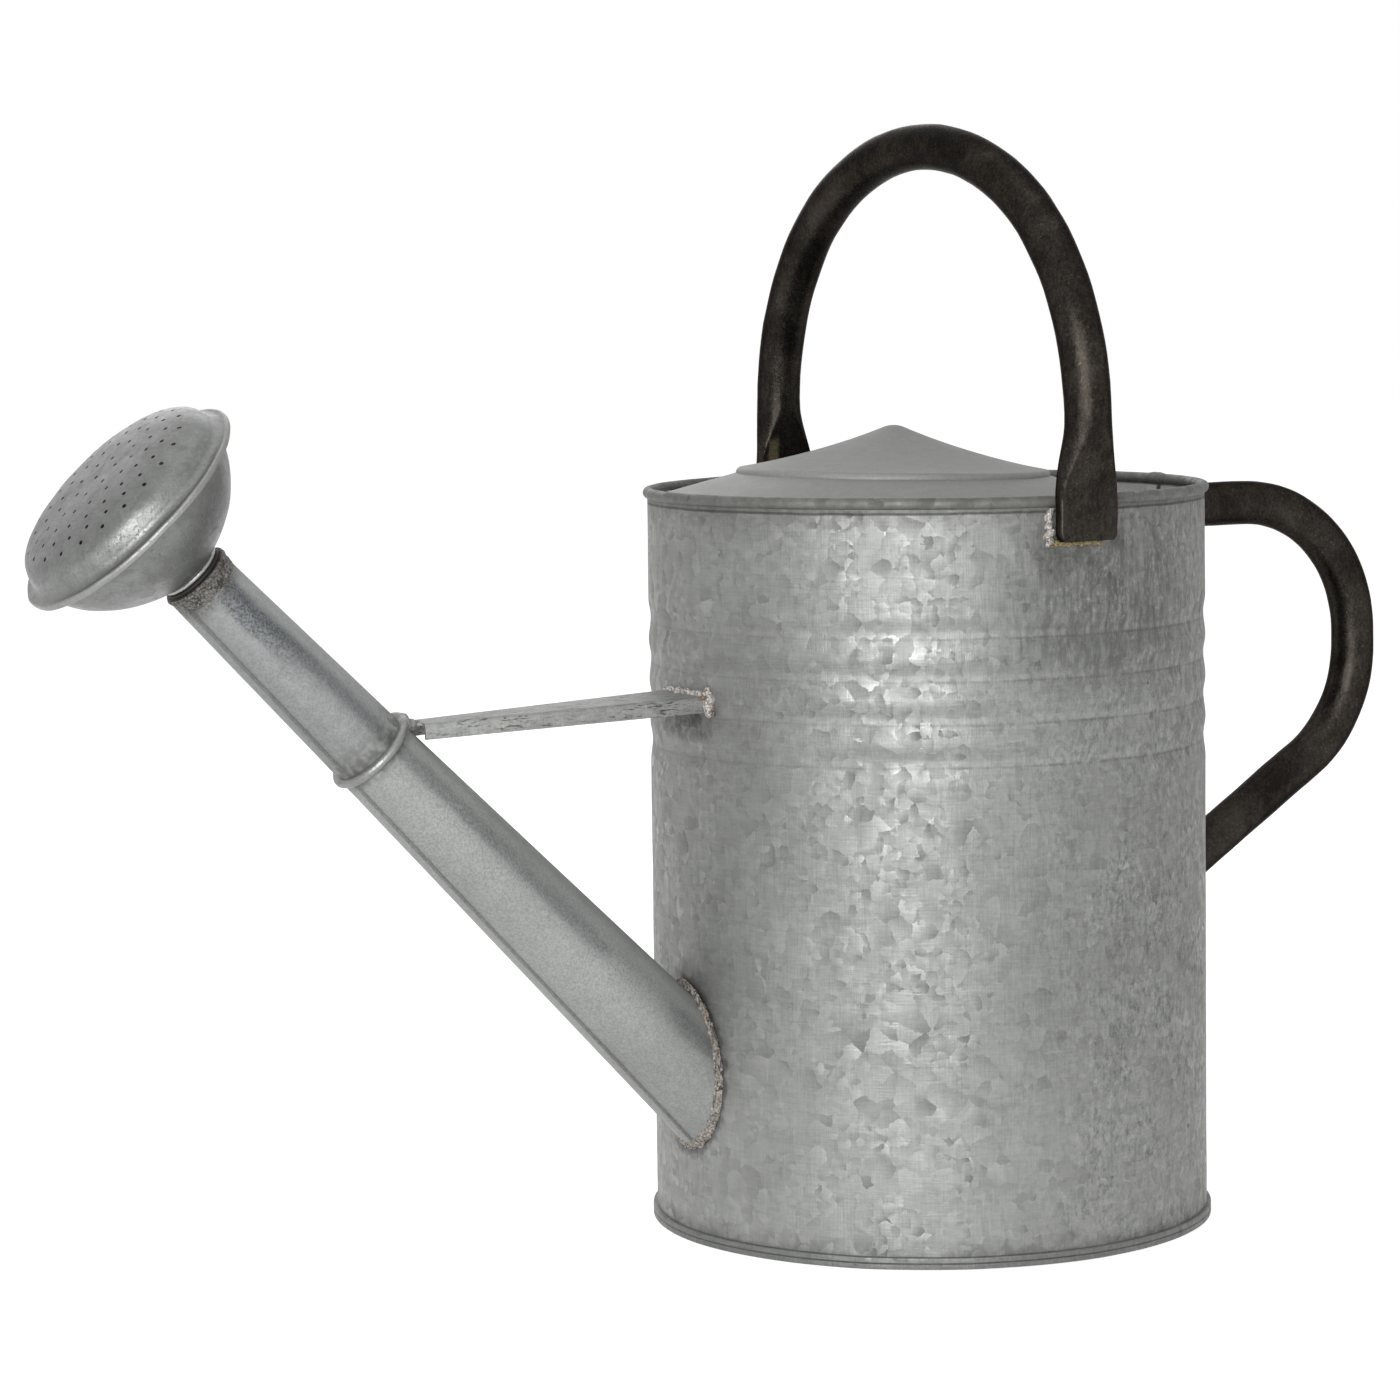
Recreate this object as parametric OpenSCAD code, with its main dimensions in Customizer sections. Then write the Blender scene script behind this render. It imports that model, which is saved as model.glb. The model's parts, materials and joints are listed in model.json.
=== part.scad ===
// Zinc-coated watering can: a ribbed sheet can with a conical half cover, a braced
// two-piece spout, a carrying bow, a rear grip and a push-fit rose that turns.
// Origin: middle of the foot ring, on the ground. +Z is up, the spout points to -X
// and the rear grip to +X. The bow stands in the YZ plane. Millimetres.

/* [Can] */
// Outside diameter of the can
can_d = 210; // [200:1:220]
// Height of the middle of the rolled rim above the ground
can_h = 276; // [270:1:290]
// Thickness of the sheet
sheet = 0.8; // [0.6:0.1:1]
// Diameter of the rolled rim
rim_d = 4.2; // [3.8:0.1:4.6]
// Diameter of the wire inside the rolled rim
wire_d = 2.4; // [2:0.1:2.8]
// Height of the folded seam round the foot
foot_seam_h = 4.4; // [3.6:0.1:6]
// Height of the recessed bottom above the ground
bottom_rise = 6; // [5:0.5:9]
// Number of grooves pressed into the wall
groove_count = 4; // [2:1:4]
// Distance from one groove to the next
groove_pitch = 15.4; // [12:0.1:16]
// Height of the lowest groove
groove_z = 182; // [176:1:186]
// Depth of a groove
groove_depth = 0.8; // [0.4:0.1:1]
// Width of the upright lock seam at the back
lock_seam_w = 8; // [6:0.5:12]
// How far the lock seam stands out of the wall
lock_seam_h = 0.9; // [0.5:0.1:1.2]

/* [Cover] */
// How far the cover's cone is set from the can's axis towards the spout
cover_offset = 14; // [8:1:18]
// Height of the cover's ring above the middle of the rim
cover_lift = 6; // [4:0.5:8]
// Radius of the ring where the cone meets the skirt
cover_ring_r = 59; // [52:1:62]
// Height of the cone above its shoulder
cone_h = 17.4; // [12:0.2:22]
// How strongly the cone flares towards its foot
cone_flare = 0.47; // [0.2:0.01:0.6]
// Radius of the rounded tip of the cone
tip_r = 10; // [6:0.5:12]
// Radius of the rounded shoulder
shoulder_r = 2; // [1.2:0.1:3]
// Fall of the skirt for each millimetre outwards
skirt_slope = 0.3; // [0.2:0.01:0.34]
// Tilt of the cover towards the back, in degrees
cover_tilt = 1.5; // [0:0.1:2.5]
// Distance of the cover's straight back edge behind the can's axis
cover_edge_x = 48; // [44:1:56]
// Width of the folded hem under the straight edge
hem_w = 6; // [4:0.5:9]

/* [Spout] */
// Height at which the spout's axis leaves the can's wall
spout_z = 65.5; // [60:0.5:75]
// Angle of the spout above the horizontal, in degrees
spout_angle = 45; // [42:0.5:48]
// Length from the can's wall to the collar, along the axis
lower_len = 178.5; // [170:0.5:190]
// Length from the collar to the tip, along the axis
upper_len = 90.5; // [80:0.5:100]
// Outside diameter where the axis leaves the wall
root_d = 40; // [38:0.5:42]
// Outside diameter of the lower tube at the collar
joint_d = 29.2; // [28:0.2:31]
// Step in diameter from the lower tube to the upper one
joint_step = 0.4; // [0.2:0.1:1]
// Outside diameter at the tip
tip_d = 24.2; // [23.6:0.1:25]
// Width of the lapped seam under the spout
lap_w = 10; // [6:0.5:14]
// Outside diameter of the collar
collar_d = 35.6; // [34:0.2:38]
// Width of the collar along the spout
collar_w = 3.6; // [3:0.2:5]

/* [Brace] */
// Width of the brace at the can
brace_root_w = 33; // [28:1:38]
// Width of the brace at the spout
brace_tip_w = 15; // [12:1:20]
// Height of the brace's folded sides
brace_side_h = 5.9; // [4:0.1:8]
// Thickness of the brace
brace_t = 1.2; // [0.8:0.1:1.6]
// Fall of the brace from the can to the spout, in degrees
brace_fall = 2; // [0:0.5:4]
// Width of the tongue that reaches the collar
tongue_w = 9; // [6:0.5:11]
// Length of the tongue before the folded sides begin
tongue_len = 9; // [6:0.5:12]

/* [Handles] */
// Outside diameter of the handle tube
tube_d = 17; // [15:0.5:19]
// Wall of the handle tube
tube_wall = 1.6; // [1.2:0.1:2.2]
// Height of the bow's straight legs above the rim
bow_leg_h = 27; // [24:1:34]
// Rise of the bow's curve above the legs
bow_rise = 101; // [90:1:112]
// Share of the rise that the side curves take
bow_shoulder = 0.967; // [0.92:0.001:0.975]
// Width of the flattened feet of the bow
foot_w = 27; // [24:0.5:30]
// Thickness of the flattened feet
foot_t = 4.4; // [4:0.1:5]
// Length of a foot below the middle of the rim
foot_drop = 14.5; // [12:0.5:18]
// Height of the rear grip's upper run below the rim
grip_drop = 11; // [11:0.5:16]
// Reach of the rear grip from the can's wall to the tube's middle
grip_reach = 94.7; // [85:0.1:105]
// Radius of the rear grip's bends
grip_r = 53; // [40:0.5:56]
// Straight length between the rear grip's bends
grip_straight = 6; // [0:0.5:12]
// Angle at which the grip's lower run falls to the can, in degrees
grip_fall = 32.8; // [28:0.1:38]

/* [Rose] */
// Outside radius of the rose's rim
rose_r = 46.3; // [42:0.1:49]
// Radius of the rose's bowl at the rim
bowl_r = 41; // [38:0.1:41.4]
// Depth of the bowl
bowl_depth = 32.5; // [29:0.1:35]
// Fullness of the bowl's outline
bowl_power = 1.64; // [1.5:0.01:1.9]
// Radius of the domed face
dome_r = 41.7; // [40:0.1:42]
// Height of the domed face
dome_h = 14.7; // [11:0.1:17]
// Fullness of the dome's outline
dome_power = 3; // [2.4:0.1:3.4]
// Diameter of a spray hole
hole_d = 1.3; // [0.9:0.1:1.6]
// Outside radius of the spigot that plugs into the spout
spigot_r = 10.3; // [9.9:0.05:10.4]
// Length of the spigot inside the socket
spigot_len = 13; // [10:0.5:16]
// Outside radius of the collar on the rose's neck
neck_r = 11.7; // [11.5:0.1:12.3]
// Height of that collar
neck_h = 2; // [1.5:0.1:3]
// Thickness of the rubber seal
seal_t = 1.6; // [1:0.1:2.4]
// Thickness of the socket's lip at the spout's tip
lip_t = 2; // [1.2:0.1:2.6]
// Outside radius of the socket's lip
lip_r = 12.9; // [12.6:0.1:13.4]

/* [Fits] */
// Radial clearance of the rose's spigot in the socket and in its seal
spigot_clearance = 0.05; // [0.02:0.01:0.09]
// Gap between the bow's feet and the rolled rim
rim_gap = 0.05; // [0.02:0.01:0.3]
// Thickness of the solder beads
solder = 2.4; // [1.6:0.1:2.8]
// Gap between the can's wall and what is soldered to it
weld_gap = 0.04; // [0.02:0.01:0.1]
// Gap between the socket's sleeve and the upper tube
socket_gap = 0.05; // [0.02:0.01:0.1]

/* [Hidden] */
$fn = 96;

zinc = "#8f9392";
zinc_dark = "#7b7f7e";
solder_grey = "#a39a94";
steel_wire = "#6b6e6f";
tube_brown = "#34302c";
rubber_black = "#1b1a19";

can_r = can_d / 2;
inner_r = can_r - sheet;
lock_seam_in = 0.6;
rim_r = can_r - sheet / 2;
far = 400;

// Grooves: a cosine wave that starts and ends on the plain wall.
groove_steps = 10;
groove_start = groove_z - groove_pitch / 2;
groove_rows = [for (i = [0:groove_count * groove_steps])
    groove_start + i * groove_pitch / groove_steps];
function groove_r(z) = can_r - groove_depth * (1 + cos(360 * (z - groove_z) / groove_pitch)) / 2;

// Cover: heights are above its ring.
cover_z = can_h + cover_lift;
tip_angle = atan(cone_h / cover_ring_r * (1 + cone_flare));
tip_edge_r = tip_r * sin(tip_angle);
cone_end_r = cover_ring_r - shoulder_r;
cone_rows = 8;
function cone_z(r) = shoulder_r + cone_h * (1 - r / cover_ring_r) * (1 - cone_flare * r / cover_ring_r);
function cone_angle(r) = atan(cone_h / cover_ring_r * (1 + cone_flare - 2 * cone_flare * r / cover_ring_r));
shoulder_lift = cone_z(cone_end_r) - shoulder_r * cos(cone_angle(cone_end_r));
skirt_grow = sqrt(1 + skirt_slope * skirt_slope);
skirt_end_r = can_d;
cover_bead_w = 2.6;
cover_bead_h = 1.8;

// Spout: distances t run along its axis, from the can's wall.
spout_len = lower_len + upper_len;
lower_taper = (root_d - joint_d) / 2 / lower_len;
upper_start_r = (joint_d - joint_step) / 2;
upper_taper = (upper_start_r - tip_d / 2) / upper_len;
function lower_r(t) = root_d / 2 - lower_taper * t;
function upper_r(t) = upper_start_r - upper_taper * (t - lower_len);
root_reach = 40;
collar_root = 2;
tip_bead_len = 7;
tip_bead_t = 0.6;
socket_len = spigot_len + 2;
socket_bore_r = spigot_r + spigot_clearance;
lip_top = spout_len + lip_t;

// Brace: its top leaves the can at brace_z and meets the lower tube just under the collar.
collar_gap = 0.4;
brace_touch_t = lower_len - collar_w / 2 - collar_gap;
brace_touch_r = lower_r(brace_touch_t);
brace_end_x = can_r + brace_touch_t * cos(spout_angle) - brace_touch_r * sin(spout_angle);
brace_end_z = spout_z + brace_touch_t * sin(spout_angle) + brace_touch_r * cos(spout_angle);
brace_len = brace_end_x - can_r;
brace_z = brace_end_z + brace_len * tan(brace_fall);
brace_back = 12;
brace_bead_len = 5;
brace_bead_side = 1.5;

// Bow: side curves of one radius and a flatter top curve, all tangent.
bore_d = tube_d - 2 * tube_wall;
foot_in_r = rim_r + rim_d / 2 + rim_gap;
foot_out_r = foot_in_r + foot_t;
foot_angle = foot_w / (foot_in_r + foot_t / 2) * 180 / PI;
bow_half = foot_in_r + foot_t;
bow_spring_z = can_h + bow_leg_h;
bow_side_r = bow_shoulder * bow_rise;
bow_side_y = bow_half - bow_side_r;
bow_top_r = (bow_side_y * bow_side_y + bow_rise * bow_rise - bow_side_r * bow_side_r)
    / (2 * (bow_rise - bow_side_r));
bow_turn = atan2(bow_side_y, bow_top_r - bow_rise);
foot_shoulder = 1.4;
foot_top_z = can_h + rim_d / 2 + foot_shoulder;
foot_low_z = can_h - foot_drop;
leg_straight = 3;
leg_low_z = bow_spring_z - leg_straight;
joint_swell = 0.1;
slit_t = foot_t - 2 * tube_wall;
foot_edge = 0.3;
blend_t = 0.5;
bow_bead = solder + 1.2;

// Rear grip
grip_z = can_h - grip_drop;
grip_bend_x = can_r + grip_reach - grip_r;
grip_low_z = grip_z - grip_r - grip_straight;
grip_turn = 90 - grip_fall;
grip_end_x = grip_bend_x + grip_r * cos(grip_turn);
grip_end_z = grip_low_z - grip_r * sin(grip_turn);
grip_run = (grip_end_x - can_r) / cos(grip_fall);
grip_bead_d = tube_d + 1.6 * solder;

// Rose: heights are along the spout's axis, from the can's wall.
seal_top = lip_top + seal_t;
neck_top = seal_top + neck_h;
neck_stub = 2;
neck_bead = 1;
face_hem = 3.2;
bowl_foot_r = spigot_r;
bowl_rows = 22;
dome_rows = 20;
bowl_low_h = bowl_depth * pow(1 - pow(neck_r / bowl_r, bowl_power), 1 / bowl_power);
rose_seat = neck_top + bowl_low_h;
function bowl_point(i, grow) = let (a = i * 90 / bowl_rows)
    [(bowl_r - grow) * pow(cos(a), 2 / bowl_power),
     -(bowl_depth - grow) * pow(sin(a), 2 / bowl_power)];
function dome_point(i, shrink) = let (a = i * 90 / dome_rows)
    [(dome_r - shrink) * pow(cos(a), 2 / dome_power),
     (dome_h - shrink) * pow(sin(a), 2 / dome_power)];
function dome_z(r) = dome_h * pow(1 - pow(r / dome_r, dome_power), 1 / dome_power);
function dome_tilt(r) = atan(dome_h / dome_r * pow(r / dome_r, dome_power - 1)
    * pow(1 - pow(r / dome_r, dome_power), 1 / dome_power - 1));
hole_rings = [[0, 1], [0.215, 7], [0.41, 14], [0.575, 18], [0.72, 22], [0.84, 22]];
ring_twist = 500;

// ---- shared shapes ----

module ring_sector(r1, r2, z1, z2, a1, a2) {
    rotate([0, 0, a1])
        rotate_extrude(angle = a2 - a1)
            translate([r1, z1])
                square([r2 - r1, z2 - z1]);
}

module tube_ring(r1, r2, z1, z2) {
    rotate_extrude()
        translate([r1, z1])
            square([r2 - r1, z2 - z1]);
}

// Outline of the can as what is soldered to it meets it
module can_solid() {
    cylinder(r = can_r + weld_gap, h = can_h);
    rolled_rim();
    lock_seam();
}

module rolled_rim() {
    rotate_extrude()
        translate([rim_r, can_h])
            circle(d = rim_d);
}

module lock_seam() {
    half = lock_seam_w / can_r * 90 / PI;
    ring_sector(inner_r - lock_seam_in, can_r + lock_seam_h, bottom_rise + 2, can_h - rim_d / 2, -half, half);
}

module at_spout() {
    translate([-can_r, 0, spout_z])
        rotate([0, spout_angle - 90, 0])
            children();
}

module cone_between(t1, r1, t2, r2) {
    translate([0, 0, t1])
        cylinder(r1 = r1, r2 = r2, h = t2 - t1);
}

// Lower and upper tube as solids, grown by a given amount
module lower_cone(grow, t1, t2) {
    cone_between(t1, lower_r(t1) + grow, t2, lower_r(t2) + grow);
}

module upper_cone(grow, t1, t2) {
    cone_between(t1, upper_r(t1) + grow, t2, upper_r(t2) + grow);
}

module lap_zone(t1, t2) {
    translate([-root_d, -lap_w / 2, t1])
        cube([root_d, lap_w, t2 - t1]);
}

module lower_outside() {
    lower_cone(0, -root_reach, lower_len);
    intersection() {
        lower_cone(sheet, -root_reach, lower_len);
        lap_zone(-root_reach, lower_len);
    }
}

module upper_outside() {
    upper_cone(0, lower_len, spout_len);
    intersection() {
        upper_cone(sheet, lower_len, spout_len);
        lap_zone(lower_len, spout_len);
    }
}

// ---- can ----

module body_profile() {
    outer = concat([[can_r, sheet]], [for (z = groove_rows) [groove_r(z), z]], [[can_r, can_h - wire_d / 2]]);
    inner = [for (i = [len(outer) - 1:-1:0]) outer[i] - [sheet, 0]];
    difference() {
        union() {
            polygon(concat(outer, inner));
            translate([can_r - sheet / 2, sheet])
                square([1.5 * sheet, foot_seam_h - 2 * sheet]);
            translate([rim_r, can_h])
                circle(d = rim_d);
        }
        translate([rim_r, can_h])
            circle(d = wire_d);
    }
}

module body_shell() {
    color(zinc)
        difference() {
            union() {
                rotate_extrude()
                    body_profile();
                lock_seam();
            }
            at_spout()
                lower_cone(-sheet, -root_reach, root_reach);
        }
}

module rim_wire() {
    color(steel_wire)
        rotate_extrude()
            translate([rim_r, can_h])
                circle(d = wire_d);
}

module base_pan() {
    color(zinc_dark)
        rotate_extrude()
            polygon([[0, bottom_rise], [inner_r - sheet, bottom_rise], [inner_r - sheet, 0],
                [can_r + 2 * sheet, 0], [can_r + 2 * sheet, foot_seam_h], [can_r, foot_seam_h],
                [can_r, foot_seam_h - sheet], [can_r + sheet, foot_seam_h - sheet],
                [can_r + sheet, sheet], [inner_r, sheet], [inner_r, bottom_rise + sheet],
                [0, bottom_rise + sheet]]);
}

// ---- cover ----

module at_cover() {
    translate([-cover_offset, 0, cover_z])
        rotate([0, cover_tilt, 0])
            children();
}

// The cover's upper line from tip to skirt, moved inwards by d
function cover_line(d) = concat(
    [for (i = [0:3]) let (a = i * tip_angle / 4)
        [(tip_r - d) * sin(a), cone_z(tip_edge_r) + tip_r * (1 - cos(tip_angle)) - tip_r + (tip_r - d) * cos(a)]],
    [for (i = [0:cone_rows]) let (r = tip_edge_r + i * (cone_end_r - tip_edge_r) / cone_rows, s = cone_angle(r))
        [r - d * sin(s), cone_z(r) - d * cos(s)]],
    [for (a = [60:-20:0])
        [cone_end_r + (shoulder_r - d) * cos(a), (shoulder_r - d) * sin(a) + shoulder_lift]],
    [[cover_ring_r - d, skirt_slope * d - d * skirt_grow],
     [skirt_end_r, -skirt_slope * (skirt_end_r - cover_ring_r) - d * skirt_grow]]);

module cover_skin(high, low) {
    top = cover_line(-high);
    under = cover_line(-low);
    at_cover()
        rotate_extrude()
            polygon(concat(top, [for (i = [len(under) - 1:-1:0]) under[i]]));
}

module cover_zone(edge_x) {
    intersection() {
        cylinder(r = inner_r, h = far);
        translate([-far, -far, 0])
            cube([far + edge_x, 2 * far, far]);
    }
}

module hood() {
    color(zinc)
        difference() {
            union() {
                intersection() {
                    cover_skin(0, -sheet);
                    cover_zone(cover_edge_x);
                }
                intersection() {
                    cover_skin(-sheet, -2 * sheet);
                    cover_zone(cover_edge_x);
                    translate([cover_edge_x - hem_w, -can_r, 0])
                        cube([hem_w, can_d, far]);
                }
            }
            rolled_rim();
        }
}

module hood_solder() {
    skirt_end = -skirt_slope * (skirt_end_r - cover_ring_r);
    color(solder_grey)
        difference() {
            intersection() {
                at_cover()
                    rotate_extrude()
                        polygon([[cover_ring_r, 0], [skirt_end_r, skirt_end],
                            [skirt_end_r, skirt_end + cover_bead_h], [cover_ring_r, cover_bead_h]]);
                cover_zone(cover_edge_x);
                tube_ring(inner_r - cover_bead_w, inner_r, 0, can_h + rim_d);
            }
            tube_ring(rim_r - rim_d / 2, can_r, can_h - rim_d / 2, can_h + 2 * rim_d);
        }
}

// ---- spout ----

module spout_lower() {
    color(zinc)
        difference() {
            at_spout()
                difference() {
                    lower_outside();
                    lower_cone(-sheet, -root_reach - 1, lower_len + 1);
                }
            can_solid();
        }
}

module spout_upper() {
    color(zinc)
        at_spout()
            difference() {
                upper_outside();
                upper_cone(-sheet, lower_len - 1, spout_len + 1);
            }
}

module spout_collar() {
    color(zinc_dark)
        at_spout()
            difference() {
                rotate_extrude() {
                    translate([joint_d / 2 - collar_root, lower_len - collar_w / 2])
                        square([(collar_d - joint_d - collar_w) / 2 + collar_root, collar_w]);
                    translate([(collar_d - collar_w) / 2, lower_len])
                        circle(d = collar_w);
                }
                lower_outside();
                upper_outside();
                cylinder(r = upper_start_r - 0.1, h = far);
            }
}

module spout_socket() {
    sleeve_low = spout_len - socket_len;
    color(zinc_dark)
        at_spout()
            difference() {
                union() {
                    upper_cone(-sheet - socket_gap, sleeve_low, spout_len);
                    cone_between(spout_len, lip_r, lip_top, lip_r);
                }
                cone_between(sleeve_low - 1, socket_bore_r, lip_top + 1, socket_bore_r);
            }
}

module spout_root_solder() {
    color(solder_grey)
        difference() {
            intersection() {
                at_spout()
                    difference() {
                        lower_cone(solder + 1, -root_reach, root_reach);
                        lower_outside();
                    }
                cylinder(r = can_r + solder, h = can_h);
                translate([-far, -far, 0])
                    cube([far, 2 * far, far]);
            }
            can_solid();
        }
}

module spout_tip_solder() {
    color(solder_grey)
        at_spout()
            difference() {
                upper_cone(tip_bead_t, spout_len - tip_bead_len, spout_len);
                upper_outside();
            }
}

// ---- brace ----

// Drawn from the can's wall outwards along +X, then turned to the spout
module at_brace() {
    translate([-can_r, 0, brace_z])
        rotate([0, 0, 180])
            rotate([0, brace_fall, 0])
                children();
}

module brace_plan(inset) {
    side_end = brace_len - tongue_len;
    spread = (brace_root_w - brace_tip_w) / 2 / side_end;
    root_half = brace_root_w / 2 - inset;
    tip_half = brace_tip_w / 2 - inset;
    polygon([[-brace_back, root_half + spread * brace_back], [side_end, tip_half],
        [side_end, -tip_half], [-brace_back, -root_half - spread * brace_back]]);
}

module brace_blank(grow) {
    translate([0, 0, -brace_side_h - grow])
        linear_extrude(brace_side_h + 2 * grow)
            brace_plan(-grow);
}

module brace() {
    color(zinc)
        difference() {
            at_brace()
                union() {
                    difference() {
                        brace_blank(0);
                        translate([0, 0, -brace_side_h - 1])
                            linear_extrude(brace_side_h + 1 - brace_t)
                                brace_plan(brace_t);
                    }
                    translate([brace_len - tongue_len - brace_t, -tongue_w / 2, -brace_t])
                        cube([tongue_len + brace_back, tongue_w, brace_t]);
                }
            can_solid();
            at_spout() {
                lower_outside();
                upper_outside();
                cone_between(lower_len - collar_w / 2, collar_d, spout_len, collar_d);
            }
        }
}

module brace_body_solder() {
    color(solder_grey)
        difference() {
            intersection() {
                at_brace()
                    brace_blank(solder);
                cylinder(r = can_r + solder, h = can_h);
            }
            at_brace()
                brace_blank(0);
            can_solid();
        }
}

module brace_spout_solder() {
    low_t = brace_touch_t - brace_bead_len;
    color(solder_grey)
        difference() {
            at_spout()
                intersection() {
                    difference() {
                        lower_cone(solder, low_t, lower_len - collar_w / 2);
                        lower_outside();
                    }
                    translate([0, -tongue_w / 2 - brace_bead_side, 0])
                        cube([far, tongue_w + 2 * brace_bead_side, far]);
                }
            brace();
        }
}

// ---- handles ----

// Two tube lengths meet inside a ball a hair wider than the tube
module tube_joint(d) {
    sphere(d = d + joint_swell);
}

module bow_path(d) {
    rotate([90, 0, 90]) {
        for (side = [0, 1])
            mirror([side, 0, 0])
                translate([bow_side_y, bow_spring_z]) {
                    rotate([0, 0, 90 - bow_turn])
                        translate([bow_side_r, 0])
                            tube_joint(d);
                    rotate_extrude(angle = 90 - bow_turn)
                        translate([bow_side_r, 0])
                            circle(d = d);
                }
        translate([0, bow_spring_z + bow_rise - bow_top_r])
            rotate([0, 0, 90 - bow_turn])
                rotate_extrude(angle = 2 * bow_turn)
                    translate([bow_top_r, 0])
                        circle(d = d);
    }
    for (side = [-1, 1])
        translate([0, side * bow_half, leg_low_z])
            cylinder(d = d, h = bow_spring_z - leg_low_z);
}

// Blend from the round leg down to the flattened foot
module foot_blend(d, r1, r2, width, low_z) {
    half = width / 2;
    hull() {
        translate([0, bow_half, leg_low_z])
            cylinder(d = d, h = blend_t, $fn = 32);
        translate([-half, r1 - half * half / 2 / r1, low_z])
            cube([width, r2 - r1, blend_t]);
    }
}

module bow_foot_outside() {
    foot_blend(tube_d, foot_in_r, foot_out_r, foot_w - 2 * foot_edge, foot_top_z);
    ring_sector(foot_in_r, foot_out_r, foot_low_z, foot_top_z + blend_t,
        90 - foot_angle / 2, 90 + foot_angle / 2);
}

module bow_foot_inside() {
    slit_in_r = foot_in_r + tube_wall;
    slit_w = foot_w - 3 * tube_wall;
    slit_angle = foot_angle * slit_w / foot_w;
    foot_blend(bore_d, slit_in_r, slit_in_r + slit_t, slit_w, foot_top_z - foot_edge);
    ring_sector(slit_in_r, slit_in_r + slit_t, foot_low_z - 1, foot_top_z,
        90 - slit_angle / 2, 90 + slit_angle / 2);
}

module bow_handle() {
    color(tube_brown)
        difference() {
            union() {
                bow_path(tube_d);
                for (side = [0, 1])
                    mirror([0, side, 0])
                        bow_foot_outside();
            }
            bow_path(bore_d);
            for (side = [0, 1])
                mirror([0, side, 0])
                    bow_foot_inside();
        }
}

// Solder behind a foot, along its lower edge and up its edge on the spout's side
module bow_solder() {
    rim_low = can_h - rim_d / 2 - 2 * rim_gap;
    bead_in_r = can_r + weld_gap;
    bead_low = foot_low_z - solder;
    low_edge = 90 - foot_angle / 2;
    high_edge = 90 + foot_angle / 2;
    bead_edge = high_edge + solder / can_r * 180 / PI;
    color(solder_grey) {
        ring_sector(bead_in_r, foot_in_r, bead_low, rim_low, low_edge, bead_edge);
        ring_sector(bead_in_r, can_r + bow_bead, bead_low, foot_low_z, low_edge, bead_edge);
        ring_sector(bead_in_r, can_r + solder, bead_low, rim_low, high_edge, bead_edge);
    }
}

module bow_solder_near() {
    mirror([0, 1, 0])
        bow_solder();
}

module bow_solder_far() {
    bow_solder();
}

module grip_path(d) {
    rotate([90, 0, 0]) {
        translate([grip_bend_x, grip_z - grip_r])
            rotate_extrude(angle = 90)
                translate([grip_r, 0])
                    circle(d = d);
        translate([grip_bend_x, grip_low_z])
            rotate([0, 0, -grip_turn]) {
                translate([grip_r, 0])
                    tube_joint(d);
                rotate_extrude(angle = grip_turn)
                    translate([grip_r, 0])
                        circle(d = d);
            }
        translate([grip_bend_x + grip_r, grip_low_z])
            tube_joint(d);
    }
    if (grip_straight > 0)
        translate([grip_bend_x + grip_r, 0, grip_low_z])
            cylinder(d = d, h = grip_straight);
    grip_upper_run(d);
    grip_lower_run(d);
}

module grip_upper_run(d) {
    translate([grip_bend_x, 0, grip_z])
        rotate([0, -90, 0])
            cylinder(d = d, h = grip_bend_x - can_r + tube_d);
}

module grip_lower_run(d) {
    translate([grip_end_x, 0, grip_end_z])
        rotate([0, -90 - grip_fall, 0])
            cylinder(d = d, h = grip_run + tube_d);
}

module rear_handle() {
    color(tube_brown)
        difference() {
            grip_path(tube_d);
            grip_path(bore_d);
            can_solid();
        }
}

module grip_solder_zone() {
    difference() {
        intersection() {
            children();
            cylinder(r = can_r + solder, h = can_h - rim_d / 2);
        }
        grip_path(tube_d);
        can_solid();
    }
}

module rear_solder_upper() {
    color(solder_grey)
        grip_solder_zone()
            grip_upper_run(grip_bead_d);
}

module rear_solder_lower() {
    color(solder_grey)
        grip_solder_zone()
            grip_lower_run(grip_bead_d);
}

// ---- rose ----

module rose_seal() {
    color(rubber_black)
        at_spout()
            tube_ring(socket_bore_r, neck_r + 0.1, lip_top, seal_top);
}

module rose_neck() {
    color(zinc)
        at_spout()
            difference() {
                union() {
                    cone_between(spout_len - spigot_len, spigot_r, neck_top + neck_stub, spigot_r);
                    cone_between(seal_top, neck_r, neck_top, neck_r);
                }
                cone_between(spout_len - spigot_len - 1, spigot_r - sheet, neck_top + neck_stub + 1, spigot_r - sheet);
            }
}

module rose_neck_solder() {
    color(solder_grey)
        at_spout()
            tube_ring(spigot_r, spigot_r + neck_bead, neck_top + sheet, neck_top + sheet + neck_bead);
}

module rose_bowl() {
    rows = [for (i = [0:bowl_rows]) bowl_point(i, 0)];
    outside = [for (p = rows) if (p[0] > neck_r) p];
    inside = [for (i = [bowl_rows:-1:0]) let (p = bowl_point(i, sheet)) if (p[0] > neck_r && p[1] > sheet - bowl_low_h) p];
    color(zinc)
        at_spout()
            translate([0, 0, rose_seat])
                rotate_extrude()
                    polygon(concat(outside,
                        [[neck_r, -bowl_low_h], [bowl_foot_r, -bowl_low_h], [bowl_foot_r, sheet - bowl_low_h],
                         [neck_r, sheet - bowl_low_h]],
                        inside,
                        [[bowl_r - sheet, sheet], [rose_r - sheet, sheet], [rose_r - sheet, 0]]));
}

module rose_holes() {
    for (ring = hole_rings)
        let (r = ring[0] * dome_r)
            for (i = [0:ring[1] - 1])
                rotate([0, 0, i * 360 / ring[1] + ring_twist * ring[0]])
                    translate([r, 0, dome_z(r)])
                        rotate([0, dome_tilt(r), 0])
                            translate([0, 0, -2.5 * sheet])
                                cylinder(d = hole_d, h = 5 * sheet, $fn = 24);
}

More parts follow.
